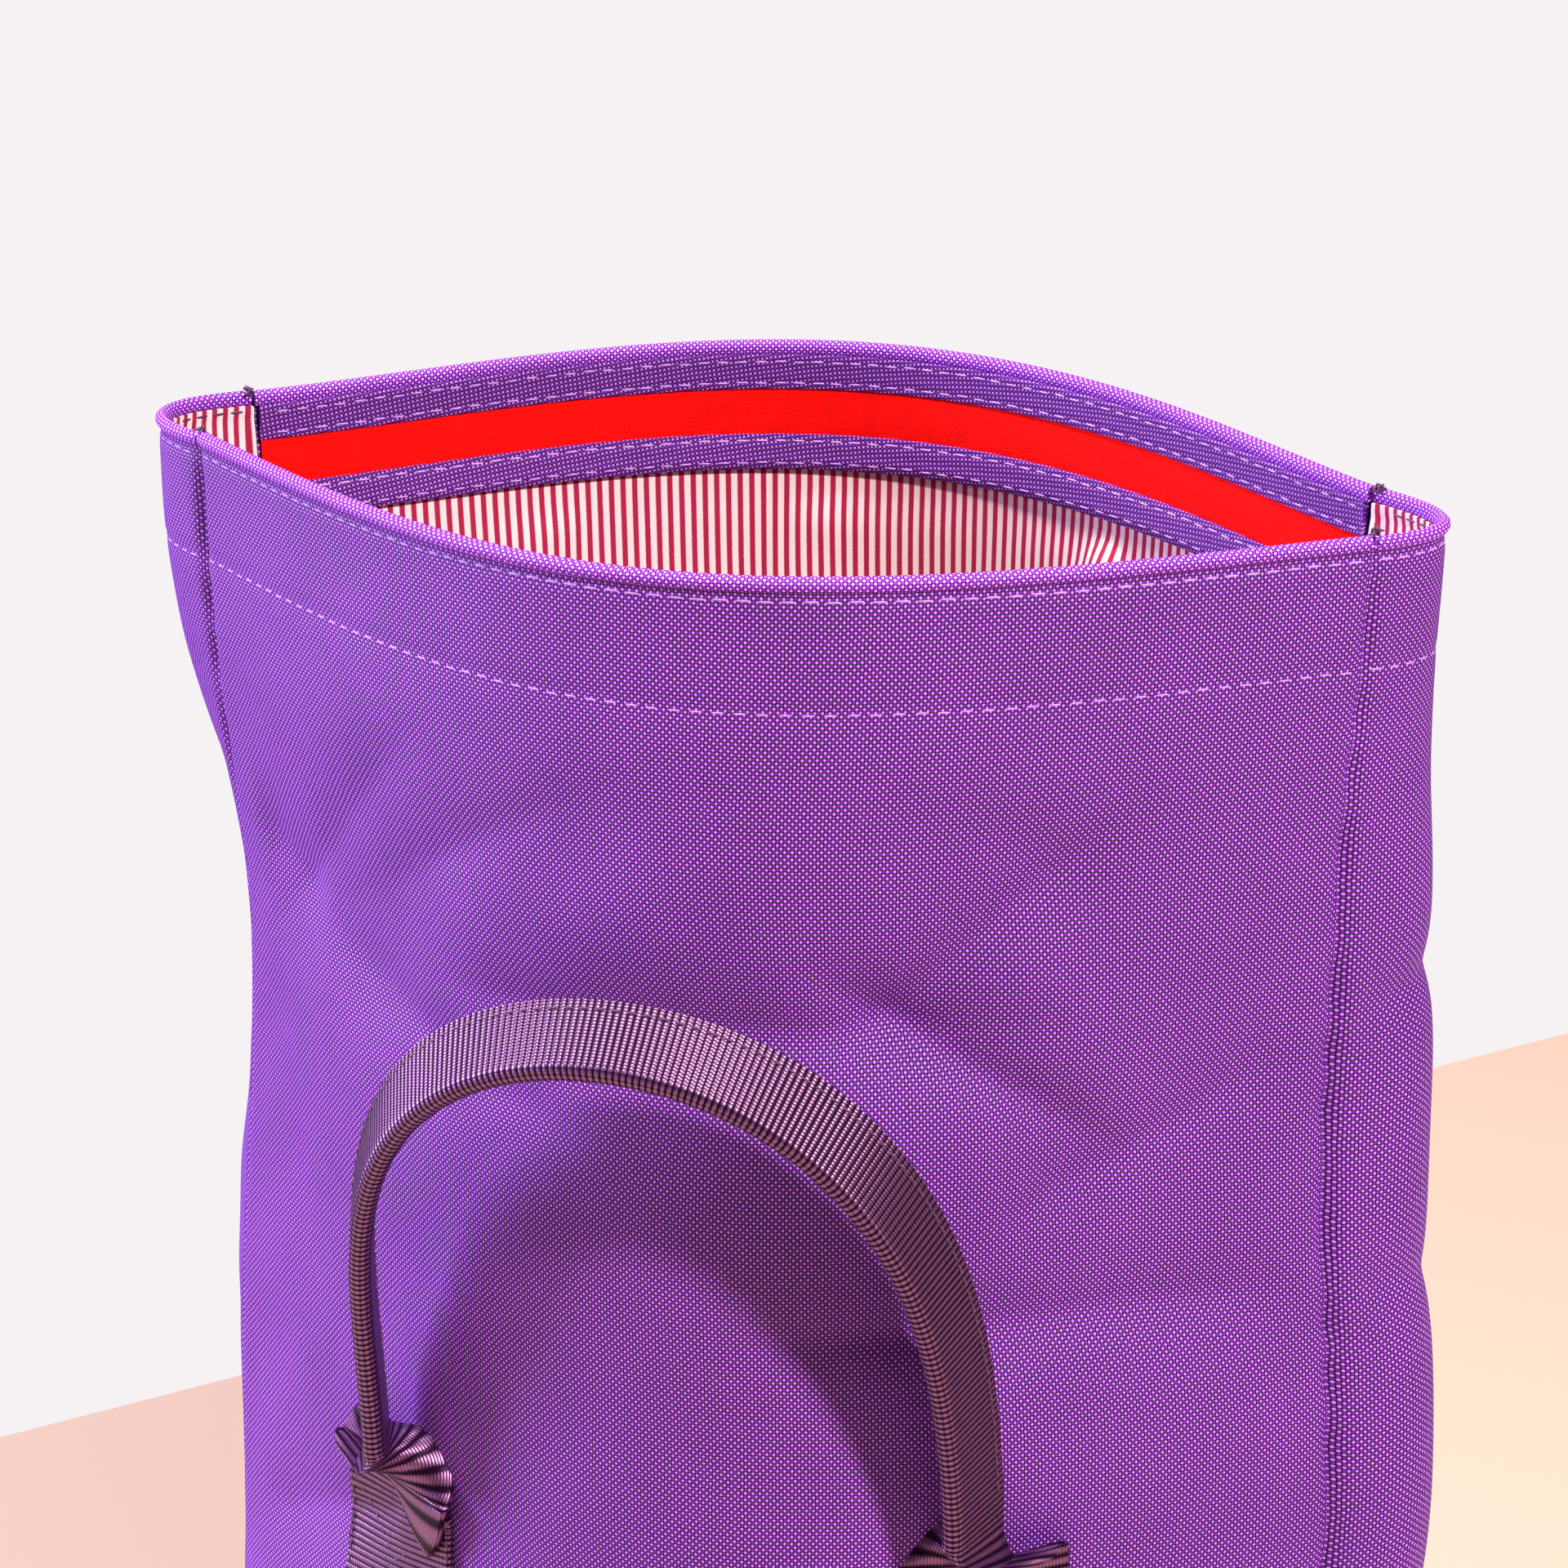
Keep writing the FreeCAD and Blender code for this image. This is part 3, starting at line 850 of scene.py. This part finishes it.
class BAG_OT_lips(bpy.types.Operator):
    """Make the rolled lip around the mouth"""
    bl_idname = "bag.make_lips"
    bl_label = "Rolled lips"

    def execute(self, context):
        rim = size_of("height")
        low = rim - size_of("lip")
        for which in WALLS:
            deep = 3.2 if is_panel(which) else 2.2
            profile = [(low - 0.3, 0.1), (low + 0.2, -0.25), (low + 1.1, -0.5),
                       (low + 2.0, -0.3), (low + 2.7, 0.4), (rim, 1.2), (rim, deep - 1.1),
                       (low + 2.6, deep - 0.3), (low + 1.8, deep + 0.1), (low + 0.9, deep),
                       (low + 0.2, deep - 0.4), (low - 0.2, deep - 1.0), (low, 1.2)]
            piece = wall_band(part_name(which, "lip"), which, profile, 0.4)
            node = part_name(which, "mouth_hem" if is_panel(which) else "hem")
            # The lip's finish is painted lighter: a painted highlight of the top light.
            dress(piece, "violet lip cloth with painted top light", nodes=[node])
        return {"FINISHED"}


def lining_folds(s, z):
    """Loose folds of the lining, pulled in from the wall."""
    top = smooth((size_of("height") - 33.0 - z) / 11.0)
    u = (s - 0.5) * 300.0
    sway = 9.0 * np.sin(z / 13.0) + 5.0 * np.sin(z / 7.0 + 1.0)
    folds = (2.6 * hump(u + 52 + sway, 6.0) + 1.9 * hump(u + 74 - 0.7 * sway, 5.0)
             + 1.6 * hump(u - 20 + 0.4 * sway, 9.0) + 1.3 * hump(u - 88 + 0.6 * sway, 8.0))
    calm = smooth(np.minimum(s, 1 - s) * 10.0)
    return top * calm * (folds + 0.5 * np.abs(np.sin(u / 16.0 + z / 31.0)))


class BAG_OT_linings(bpy.types.Operator):
    """Make the striped lining of the walls"""
    bl_idname = "bag.make_linings"
    bl_label = "Striped lining"

    def execute(self, context):
        rim = size_of("height")
        for which in WALLS:
            wide = is_panel(which)
            top = rim - size_of("lower_strip") + 3.0 if wide else rim - 3.4
            piece = wall_sheet(part_name(which, "lining_cloth"), which, LINING_LOW, top,
                               LINING_DEPTH, LINING_THICK, 1.3 if wide else 0.1,
                               lining_folds if wide else None)
            dress(piece, "striped lining", nodes=[part_name(which, "lining")])
        return {"FINISHED"}


class BAG_OT_facings(bpy.types.Operator):
    """Make the folded facing strips above and below the fastening tapes"""
    bl_idname = "bag.make_facings"
    bl_label = "Facing strips"

    def execute(self, context):
        rim = size_of("height")
        for which in ("front", "back"):
            for place, low, high, out, inner in (
                    ("upper", rim - size_of("upper_strip"), rim - 3.2, 1.1, 2.8),
                    ("lower", rim - size_of("lower_strip"), rim - size_of("tape_end") - 0.1,
                     1.8, 3.3)):
                tall = high - low
                dimple = [0.18 * hump(t - 0.16, 0.06) + 0.18 * hump(t - 0.80, 0.06)
                          for t in np.linspace(0.0, 1.0, 15)]
                profile = [(low + 0.3, out), (high - 0.3, out), (high, out + 0.5)]
                profile += [(high - 0.12 - t * (tall - 0.24), inner - dent
                             + 0.35 * math.sin(math.pi * t) ** 0.5 - 0.25)
                            for t, dent in zip(np.linspace(0.0, 1.0, 15), dimple)]
                profile += [(low, out + 0.5)]
                piece = wall_band(f"{which}_{place}_strip", which, profile, 1.5)
                dress(piece, "violet facing cloth",
                      nodes=[f"{which}_{place}_facing"])
        return {"FINISHED"}


class BAG_OT_tapes(bpy.types.Operator):
    """Make the hook tape in the front and the loop tape in the back of the mouth"""
    bl_idname = "bag.make_tapes"
    bl_label = "Fastening tapes"

    def execute(self, context):
        rim = size_of("height")
        low, high = rim - size_of("tape_end") - 0.6, rim - size_of("upper_strip") + 0.2
        for which, kind in (("front", "hook"), ("back", "loop")):
            steps = np.linspace(0.0, 1.0, 11)
            profile = [(low, 1.15), (high, 1.15)]
            profile += [(high - t * (high - low), 2.05 + 0.25 * math.sin(math.pi * t) ** 0.4)
                        for t in steps]
            piece = wall_band(f"{which}_{kind}_strip", which, profile, 1.7)
            dress(piece, f"red {kind} tape", nodes=[f"{which}_{kind}_tape"])
        return {"FINISHED"}


def bottom_sheet(name, z, thickness, shrink, sag):
    """A flat cloth with the outline of the bottom, slightly sagging."""
    length = size_of("base_half_length") - shrink
    depth = size_of("base_half_depth") - shrink
    corner = size_of("base_corner") - shrink
    around, out = 193, np.linspace(0.0, 1.0, 26)
    edge = []
    for turn in np.linspace(0.0, 2 * math.pi, around)[:-1]:
        c, s = math.cos(turn), math.sin(turn)
        edge.append([math.copysign(length - corner, c) + corner * c,
                     math.copysign(depth - corner, s) + corner * s])
    edge = evenly(np.array(edge + edge[:1]), around)
    flat = out[:, None, None] * edge[None, :, :]
    u, v = flat[..., 0], flat[..., 1]
    level = z - sag * (1 - out[:, None] ** 2) * np.ones_like(u)
    points = np.stack([u, v, level], axis=-1)[::-1]
    piece = cloth_grid(name, points, np.stack([u, v], axis=-1)[::-1])
    edit_whole(piece, weld, face_outward)
    face_up(piece)
    thicken(piece, thickness)
    finish_smooth(piece)
    return piece


class BAG_OT_bottom(bpy.types.Operator):
    """Make the bottom cloths, and finish the board between them"""
    bl_idname = "bag.make_bottom"
    bl_label = "Bottom"

    def execute(self, context):
        piece = bottom_sheet("bottom_cloth", SHELL_THICK, SHELL_THICK, 1.6, 0.0)
        dress(piece, "violet shell cloth", nodes=["bottom_panel"])
        piece = bottom_sheet("bottom_lining_cloth", 4.1, LINING_THICK, LINING_LOW, 0.15)
        dress(piece, "striped lining", nodes=["bottom_lining"])
        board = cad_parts["base_board"]
        board.data.materials.clear()
        board.data.materials.append(finish_of("base board"))
        return {"FINISHED"}


# ---- handles -------------------------------------------------------------

def front_wall_y(x, z):
    """Where the front wall stands, at one x and one height."""
    s = np.linspace(0.02, 0.98, 241)
    line = wall_points("front", s, np.full_like(s, z), 0.0)
    return float(np.interp(x, line[:, 0], line[:, 1]))


def wall_fall():
    """How fast the front wall falls back from the middle, at a handle's foot."""
    x = size_of("mouth_shift") + size_of("handle_half_span")
    z = size_of("end_top") - 6.0
    return (front_wall_y(x + 8, z) - front_wall_y(x - 8, z)) / 16.0


def strap_path():
    """Centre of the free loop, how far it has opened, and its direction towards the wall."""
    shift, span = size_of("mouth_shift"), size_of("handle_half_span")
    rise_top, lean_top = size_of("handle_rise"), size_of("handle_lean")
    hinge_z = hinge_height()
    foot_y = front_wall_y(shift + span, hinge_z) - 1.5
    rises = rise_top * np.sin(np.linspace(0.0, math.pi / 2, 260)) ** 1.2
    climb = np.arcsin(np.clip(rises / rise_top, 0, 1) ** (1 / ARCH_BLUNT))
    turn = np.concatenate([climb, math.pi - climb[-2::-1]])
    c, s = np.cos(turn), np.sin(turn)
    x = -span * np.sign(c) * np.abs(c) ** 0.97
    rise = rise_top * s ** ARCH_BLUNT
    opened = smooth(1 - (rise - 1.0) / 14.0)
    lean = smooth(rise / rise_top * 0.62 + 0.02) / smooth(0.64)
    out = lean_top * lean + 8.0 * (1 - opened)
    centre = np.stack([shift + x, foot_y - out, hinge_z + rise], axis=1)
    facing = smooth(rise / rise_top) ** 1.5
    back = unit(np.stack([x / span * 0.35, 1.0 - 0.3 * facing, 0.62 * facing], axis=1))
    # Where the webbing opens, it turns to lie on the sloping wall.
    slope = wall_fall() * np.sign(x)
    flat = unit(np.stack([-slope, np.ones_like(x), np.zeros_like(x)], axis=1))
    back = unit(back + (flat - back) * opened[:, None])
    return centre, opened, back


def half_ribbon(angle, half):
    """One half of the webbing, from the fold out: places towards the wall and sideways."""
    w = np.concatenate([[0.0, 0.5, 1.0, 1.5, FOLD_BEND], np.linspace(3.2, half - 0.5, 6),
                        [half]])
    fine = np.linspace(0.0, half, 240)
    bend = math.pi / 2 - (math.pi / 2 - angle) * np.clip(fine / FOLD_BEND, 0.0, 1.0)
    step = fine[1] - fine[0]
    mid = (bend[1:] + bend[:-1]) / 2
    back = np.concatenate([[0.0], np.cumsum(np.cos(mid) * step)])
    side = np.concatenate([[0.0], np.cumsum(np.sin(mid) * step)])
    turn = np.interp(w, fine, bend)
    return w, np.interp(w, fine, back), np.interp(w, fine, side), turn


def softened(values):
    """Values along the strap, evened out over a short run."""
    reach = 8
    kernel = np.hanning(2 * reach + 1)
    kernel /= kernel.sum()
    padded = np.pad(values, ((reach, reach), (0, 0)), mode="edge")
    return np.stack([np.convolve(padded[:, i], kernel, "valid")
                     for i in range(values.shape[1])], axis=1)


def strap_rings():
    """The line, directions and opening of the front strap, from one sewn end to the other."""
    shift, span = size_of("mouth_shift"), size_of("handle_half_span")
    half, thick = size_of("webbing_width") / 2, size_of("webbing_thick")
    centre, opened, back = strap_path()
    folded = FOLDED_SHARE * half / 2
    edges = centre + back * (folded * (1 - opened))[:, None]
    z = np.arange(size_of("end_top") - size_of("end_length"), hinge_height(), 1.0)
    fall = wall_fall()

    def sewn(side):
        x = shift + side * span
        return np.array([[x, front_wall_y(x, level) - WALL_GAP - thick / 2, level]
                         for level in z])

    def sewn_inward(side):
        return np.tile(unit(np.array([-fall * side, 1.0, 0.0])), (len(z), 1))

    line = np.concatenate([sewn(-1), edges, sewn(1)[::-1]])
    inward = np.concatenate([sewn_inward(-1), back, sewn_inward(1)])
    state = np.concatenate([np.ones(len(z)), opened, np.ones(len(z))])
    run = run_of(line)
    at = np.linspace(0.0, run[-1], int(run[-1] / RING_STEP))
    line, inward = (
        softened(np.stack([np.interp(at, run, values[:, i]) for i in range(3)], axis=1))
        for values in (line, inward))
    state = np.interp(at, run, state)
    tangent = unit(np.gradient(line, axis=0))
    inward = across_only(inward, tangent)
    sideways = np.cross(tangent, inward)
    return at, line, tangent, inward, sideways, state, half, thick


def strap_surface():
    """Points of the front strap's surface, ring by ring, with the ribs as real ridges."""
    at, line, tangent, inward, sideways, state, half, thick = strap_rings()
    rings, maps, rows = [], [], []
    for k in range(len(at)):
        angle = math.pi / 2 * float(state[k]) ** 1.15
        reach = half * (FOLDED_SHARE + (1 - FOLDED_SHARE) * float(state[k]))
        w, back, side, turn = half_ribbon(angle, reach)
        far = back[-1]
        mid_b = np.concatenate([back[::-1], back[1:]]) - far
        mid_s = np.concatenate([-side[::-1], side[1:]])
        face_b = np.concatenate([-np.sin(turn[::-1]), -np.sin(turn[1:])])
        face_s = np.concatenate([-np.cos(turn[::-1]), np.cos(turn[1:])])
        place = np.concatenate([-w[::-1], w[1:]])
        rib = (RIB_HEIGHT * np.abs(np.sin(math.pi * (at[k] + RIB_SLANT * place) / RIB_PITCH))
               - RIB_SINK)
        edge = np.sqrt(np.clip((reach - np.abs(place)) / 0.6, 0.05, 1.0))
        lift = (thick / 2 + rib) * edge
        outer = (mid_b + face_b * lift, mid_s + face_s * lift)
        inner = (mid_b - face_b * lift, mid_s - face_s * lift)
        b = np.concatenate([outer[0], inner[0][::-1]])
        s = np.concatenate([outer[1], inner[1][::-1]])
        flat = line[k] + b[:, None] * inward[k] + s[:, None] * sideways[k]
        rings.append(np.concatenate([flat, flat[:1]]))
        across = np.concatenate([place, place[::-1] + 2 * half, [place[0] + 4 * half]])
        askew = RIB_SLANT * np.concatenate([place, place[::-1], place[:1]])
        maps.append(np.stack([across, np.full(len(across), at[k]) + askew], axis=1))
        stitch_w = reach - STITCH_INSET
        at_row = []
        for sign in (1.0, -1.0):
            b_row = np.interp(stitch_w, w, back) - far
            s_row = sign * np.interp(stitch_w, w, side)
            t_row = np.interp(stitch_w, w, turn)
            normal = -math.sin(t_row) * inward[k] + sign * math.cos(t_row) * sideways[k]
            point = (line[k] + b_row * inward[k] + s_row * sideways[k]
                     + normal * (thick / 2 + 0.05))
            at_row.append((point, normal))
        rows.append(at_row)
    rings, maps = np.array(rings), np.array(maps)
    # The sewn ends lie on the curved wall, so their flat rings are bent to it.
    low = size_of("end_top") + 3.0
    laid = smooth((low + 4.0 - rings[..., 2]) / 6.0)
    rings = rings + (laid_on_wall(rings) - rings) * laid[..., None]
    return at, rings, maps, rows, tangent


def wall_depths(which):
    """Where a wall stands, for every height near the handle ends and every place across."""
    s = np.linspace(0.02, 0.98, 241)
    found = []
    for z in END_LEVELS:
        line = wall_points(which, s, np.full_like(s, z), 0.0)
        line = line[np.argsort(line[:, 0])]
        found.append(np.interp(ACROSS, line[:, 0], line[:, 1]))
    return np.array(found)


def read_depth(table, x, z):
    """Where the wall stands at any place, from such a table."""
    row = (np.clip(z, END_LEVELS[0], END_LEVELS[-1] - 0.01) - END_LEVELS[0]) / STEP_UP
    return between(table, row, np.clip(x - ACROSS[0], 0.0, len(ACROSS) - 1.01))


def laid_on_wall(points):
    """The points kept at their distance from a flat plane, but measured from the wall."""
    result = points.copy()
    shift, span = size_of("mouth_shift"), size_of("handle_half_span")
    table = wall_depths("front")
    x, z = points[..., 0], points[..., 2]
    middle = np.where(x > shift, shift + span, shift - span)
    tangent_line = (read_depth(table, middle, z)
                    + wall_fall() * np.sign(x - shift) * (x - middle))
    result[..., 1] = points[..., 1] + read_depth(table, x, z) - tangent_line
    return result


def turned_to_rear(points):
    """Points of the front handle turned half round, and set out from the rear wall."""
    result = points * HALF_TURN
    gap = wall_depths("back") + wall_depths("front")[:, ::-1]
    level = np.minimum(result[..., 2], size_of("end_top") + 4.0)
    result[..., 1] += read_depth(gap, result[..., 0], level) + 0.5
    return result


def placed_for(which, points):
    return turned_to_rear(points) if which == "back" else points


def turned_for(which, directions):
    return directions * HALF_TURN if which == "back" else directions


def bend_over_hinge(piece):
    """Bakes the piece's placement into its mesh. The heights low and high are worked out but
    not used.
    """
    low, high = size_of("end_top") * MM, (size_of("end_top") + BENDING) * MM
    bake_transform(piece)


class BAG_OT_handles(bpy.types.Operator):
    """Make the two webbing straps, folded in half over the hand and flat where they are sewn"""
    bl_idname = "bag.make_handles"
    bl_label = "Handles"

    def execute(self, context):
        at, rings, maps, rows, tangent = strap_surface()
        for which in ("front", "back"):
            strap = cloth_grid(f"{which}_handle_strap", placed_for(which, rings), maps)
            close_tube(strap, 50.0)
            dress(strap, "ribbed webbing", body=None,
                  nodes=[f"{which}_handle_grip", f"{which}_handle_left_end",
                         f"{which}_handle_right_end"])
            bend_over_hinge(strap)
            self.edge_stitches(which, at, rows, tangent)
            self.box_stitches(which)
        return {"FINISHED"}

    def edge_stitches(self, which, at, rows, tangent):
        """Two rows that hold the folded webbing shut along its open edges."""
        places, along, outward = [], [], []
        steps = np.arange(62.0, at[-1] - 62.0, 3.4)
        for k in np.searchsorted(at, steps):
            for point, normal in rows[k]:
                places.append(point)
                along.append(tangent[k])
                outward.append(normal)
        piece = stitches(f"{which}_handle_stitching", placed_for(which, np.array(places)),
                         turned_for(which, np.array(along)),
                         turned_for(which, np.array(outward)), 2.6, 0.3)
        dress(piece, "plum thread", body=None)
        bend_over_hinge(piece)

    def box_stitches(self, which):
        """A stitched box with a cross on each sewn end."""
        shift, span = size_of("mouth_shift"), size_of("handle_half_span")
        top = size_of("end_top") - 4.0
        low = top - size_of("end_length") + 8.0
        half = size_of("webbing_width") / 2 - 3.5
        corners = [(-half, low), (half, low), (half, top), (-half, top), (-half, low),
                   (half, top), (-half, top), (half, low)]
        places, along = [], []
        for side in (-1.0, 1.0):
            for (ax, az), (bx, bz) in zip(corners, corners[1:]):
                length = math.hypot(bx - ax, bz - az)
                pitch = 3.2
                for t in (np.arange(int(length / pitch)) + 0.5) * pitch / length:
                    ends = []
                    for k in (t - 0.6 / length, t + 0.6 / length):
                        x = shift + side * span + ax + (bx - ax) * k
                        z = az + (bz - az) * k
                        ends.append([x, front_wall_y(x, z) - WALL_GAP
                                     - size_of("webbing_thick"), z])
                    ends = np.array(ends)
                    places.append(ends.mean(axis=0))
                    along.append(ends[1] - ends[0])
        places, along = np.array(places), unit(np.array(along))
        slope = np.array([[front_wall_y(p[0] + 3, p[2]) - front_wall_y(p[0] - 3, p[2])]
                          for p in places]) / 6.0
        outward = unit(np.concatenate([slope, -np.ones_like(slope), 0 * slope], axis=1))
        outward = across_only(outward, along)
        piece = stitches(f"{which}_handle_box_stitching", placed_for(which, places),
                         turned_for(which, along), turned_for(which, outward), 2.5, 0.3)
        dress(piece, "plum thread")


# ---- stitching -----------------------------------------------------------

class BAG_OT_stitching(bpy.types.Operator):
    """Make the rows of stitches around the mouth, inside and out"""
    bl_idname = "bag.make_stitching"
    bl_label = "Hem stitching"

    def execute(self, context):
        rim = size_of("height")
        for which in WALLS:
            rows = [wall_row(which, rim - down, -0.02, 1.0) for down in (RIM_ROW, HEM_ROW)]
            piece = stitches(part_name(which, "hem_stitching"), *joined_rows(rows),
                             STITCH_LENGTH, 0.27)
            dress(piece, "lilac thread")
            if is_panel(which):
                rows = [wall_row(which, rim - down, depth, 3.0, True)
                        for down, depth in ((RIM_ROW, 2.62), (10.0, 2.62),
                                            (23.6, 3.1), (28.8, 3.1))]
                piece = stitches(part_name(which, "facing_stitching"), *joined_rows(rows),
                                 STITCH_LENGTH, 0.26)
                dress(piece, "lilac thread")
            else:
                row = wall_row(which, rim - 4.6, 1.68, 2.0, True)
                piece = stitches(part_name(which, "lining_stitching"), *row,
                                 STITCH_LENGTH, 0.3)
                dress(piece, "plum thread")
        self.knots()
        return {"FINISHED"}

    def knots(self):
        """Short thread ends tied off where each seam meets the rim."""
        random = np.random.default_rng(41)
        places, along, outward = [], [], []
        for which in ("left", "right"):
            for s in (0.03, 0.97):
                corner = wall_points(which, s, size_of("height") - 1.0, 2.2)
                for _ in range(7):
                    places.append(corner + random.uniform(-0.9, 0.9, 3) + [0, 0, 1.2])
                    along.append(random.normal(0.0, 1.0, 3) + [0, 0, 0.4])
                    outward.append(random.normal(0.0, 1.0, 3))
        along = unit(np.array(along))
        piece = stitches("seam_end_knots", np.array(places), along,
                         across_only(np.array(outward), along), 2.6, 0.32)
        dress(piece, "plum thread")


# ---- stage ---------------------------------------------------------------

def view_axes():
    """Right, up and forward of the camera, from its turn, its tilt and its lean."""
    turn, tilt, lean = (math.radians(a) for a in (CAMERA_TURN, CAMERA_TILT, CAMERA_LEAN))
    forward = Vector((-math.sin(turn) * math.cos(tilt), math.cos(turn) * math.cos(tilt),
                      -math.sin(tilt)))
    level = Vector((math.cos(turn), math.sin(turn), 0.0))
    upright = level.cross(forward)
    right = level * math.cos(lean) + upright * math.sin(lean)
    up = upright * math.cos(lean) - level * math.sin(lean)
    return right, up, forward


def area_light(name, place, size, power, code):
    """A round light, turned to the bag."""
    lamp = bpy.data.lights.new(name, "AREA")
    lamp.shape = "DISK"
    lamp.size = size
    lamp.energy = power
    lamp.color = linear(code)[:3]
    holder = bpy.data.objects.new(name, lamp)
    bpy.context.scene.collection.objects.link(holder)
    holder.location = place
    holder.rotation_euler = (Vector(AIM) - Vector(place)).to_track_quat("-Z", "Y").to_euler()


class BAG_OT_stage(bpy.types.Operator):
    """Make the table top, the lights and the camera"""
    bl_idname = "bag.make_stage"
    bl_label = "Stage"

    def execute(self, context):
        scene = context.scene
        right, up, forward = view_axes()
        lens = bpy.data.cameras.new("bag_camera")
        lens.sensor_width = CAMERA_SENSOR
        lens.lens = CAMERA_LENS
        lens.clip_end = 20.0
        camera = bpy.data.objects.new("bag_camera", lens)
        scene.collection.objects.link(camera)
        camera.matrix_world = Matrix.Translation(CAMERA_PLACE) @ Matrix(
            (right, up, -forward)).transposed().to_4x4()
        scene.camera = camera
        self.table_top()
        for light in LIGHTS:
            area_light(*light)
        world = bpy.data.worlds.new("studio")
        scene.world = world
        world.use_nodes = True
        tree = world.node_tree
        tree.nodes.clear()
        glow = add(tree, "Background", {"Color": linear("#fdf6f4"), "Strength": 0.05})
        seen = add(tree, "Background", {"Color": linear(colours().backdrop), "Strength": 1.0})
        both = add(tree, "MixShader", {0: add(tree, "LightPath"), 1: glow, 2: seen})
        add(tree, "OutputWorld", {"Surface": both})
        scene.view_settings.view_transform = "Standard"
        return {"FINISHED"}

    def table_top(self):
        """A pale table whose far edge runs slantwise behind the bag."""
        nothing_selected()
        bpy.ops.mesh.primitive_grid_add(x_subdivisions=8, y_subdivisions=8, size=1.0)
        floor = bpy.context.object
        floor.name = floor.data.name = "table_top"
        edge_a, edge_b = np.array(TABLE_EDGE[0]), np.array(TABLE_EDGE[1])
        along = (edge_b - edge_a) / np.linalg.norm(edge_b - edge_a)
        near = np.array([along[1], -along[0]])
        if near[1] > 0:
            near = -near
        for vertex in floor.data.vertices:
            a, b = vertex.co.x * TABLE_SIZE[0], (0.5 - vertex.co.y) * TABLE_SIZE[1]
            spot = edge_a + along * (a + 0.3) + near * b
            vertex.co = (spot[0], spot[1], 0.0)
        face_up(floor)
        floor.data.materials.clear()
        floor.data.materials.append(table_paper("matt table paper"))


# ---- panel and registration ----------------------------------------------

OPERATORS = (BAG_OT_shell, BAG_OT_lips, BAG_OT_linings, BAG_OT_facings, BAG_OT_tapes,
             BAG_OT_bottom, BAG_OT_handles, BAG_OT_stitching, BAG_OT_stage)


class BAG_PT_sidebar(bpy.types.Panel):
    """Sizes, colours and the steps that make the bag"""
    bl_idname = "BAG_PT_sidebar"
    bl_label = "Roll-top carry bag"
    bl_space_type = "VIEW_3D"
    bl_region_type = "UI"
    bl_category = "Bag"

    def draw(self, context):
        column = self.layout.column(align=True)
        for operator in OPERATORS:
            column.operator(operator.bl_idname)
        for group in (context.scene.bag_sizes, context.scene.bag_colours):
            for name in group.bl_rna.properties.keys():
                if name not in ("rna_type", "name"):
                    self.layout.prop(group, name)


CLASSES = (BagSizes, BagColours) + OPERATORS + (BAG_PT_sidebar,)


def register():
    for cls in CLASSES:
        bpy.utils.register_class(cls)
    bpy.types.Scene.bag_sizes = bpy.props.PointerProperty(type=BagSizes)
    bpy.types.Scene.bag_colours = bpy.props.PointerProperty(type=BagColours)


def unregister():
    del bpy.types.Scene.bag_colours
    del bpy.types.Scene.bag_sizes
    for cls in reversed(CLASSES):
        bpy.utils.unregister_class(cls)


def main():
    register()
    bpy.ops.bag.make_stage()
    bpy.ops.bag.make_shell()
    bpy.ops.bag.make_lips()
    bpy.ops.bag.make_linings()
    bpy.ops.bag.make_facings()
    bpy.ops.bag.make_tapes()
    bpy.ops.bag.make_bottom()
    bpy.ops.bag.make_handles()
    bpy.ops.bag.make_stitching()
    nothing_selected()


if __name__ == "__main__":
    main()
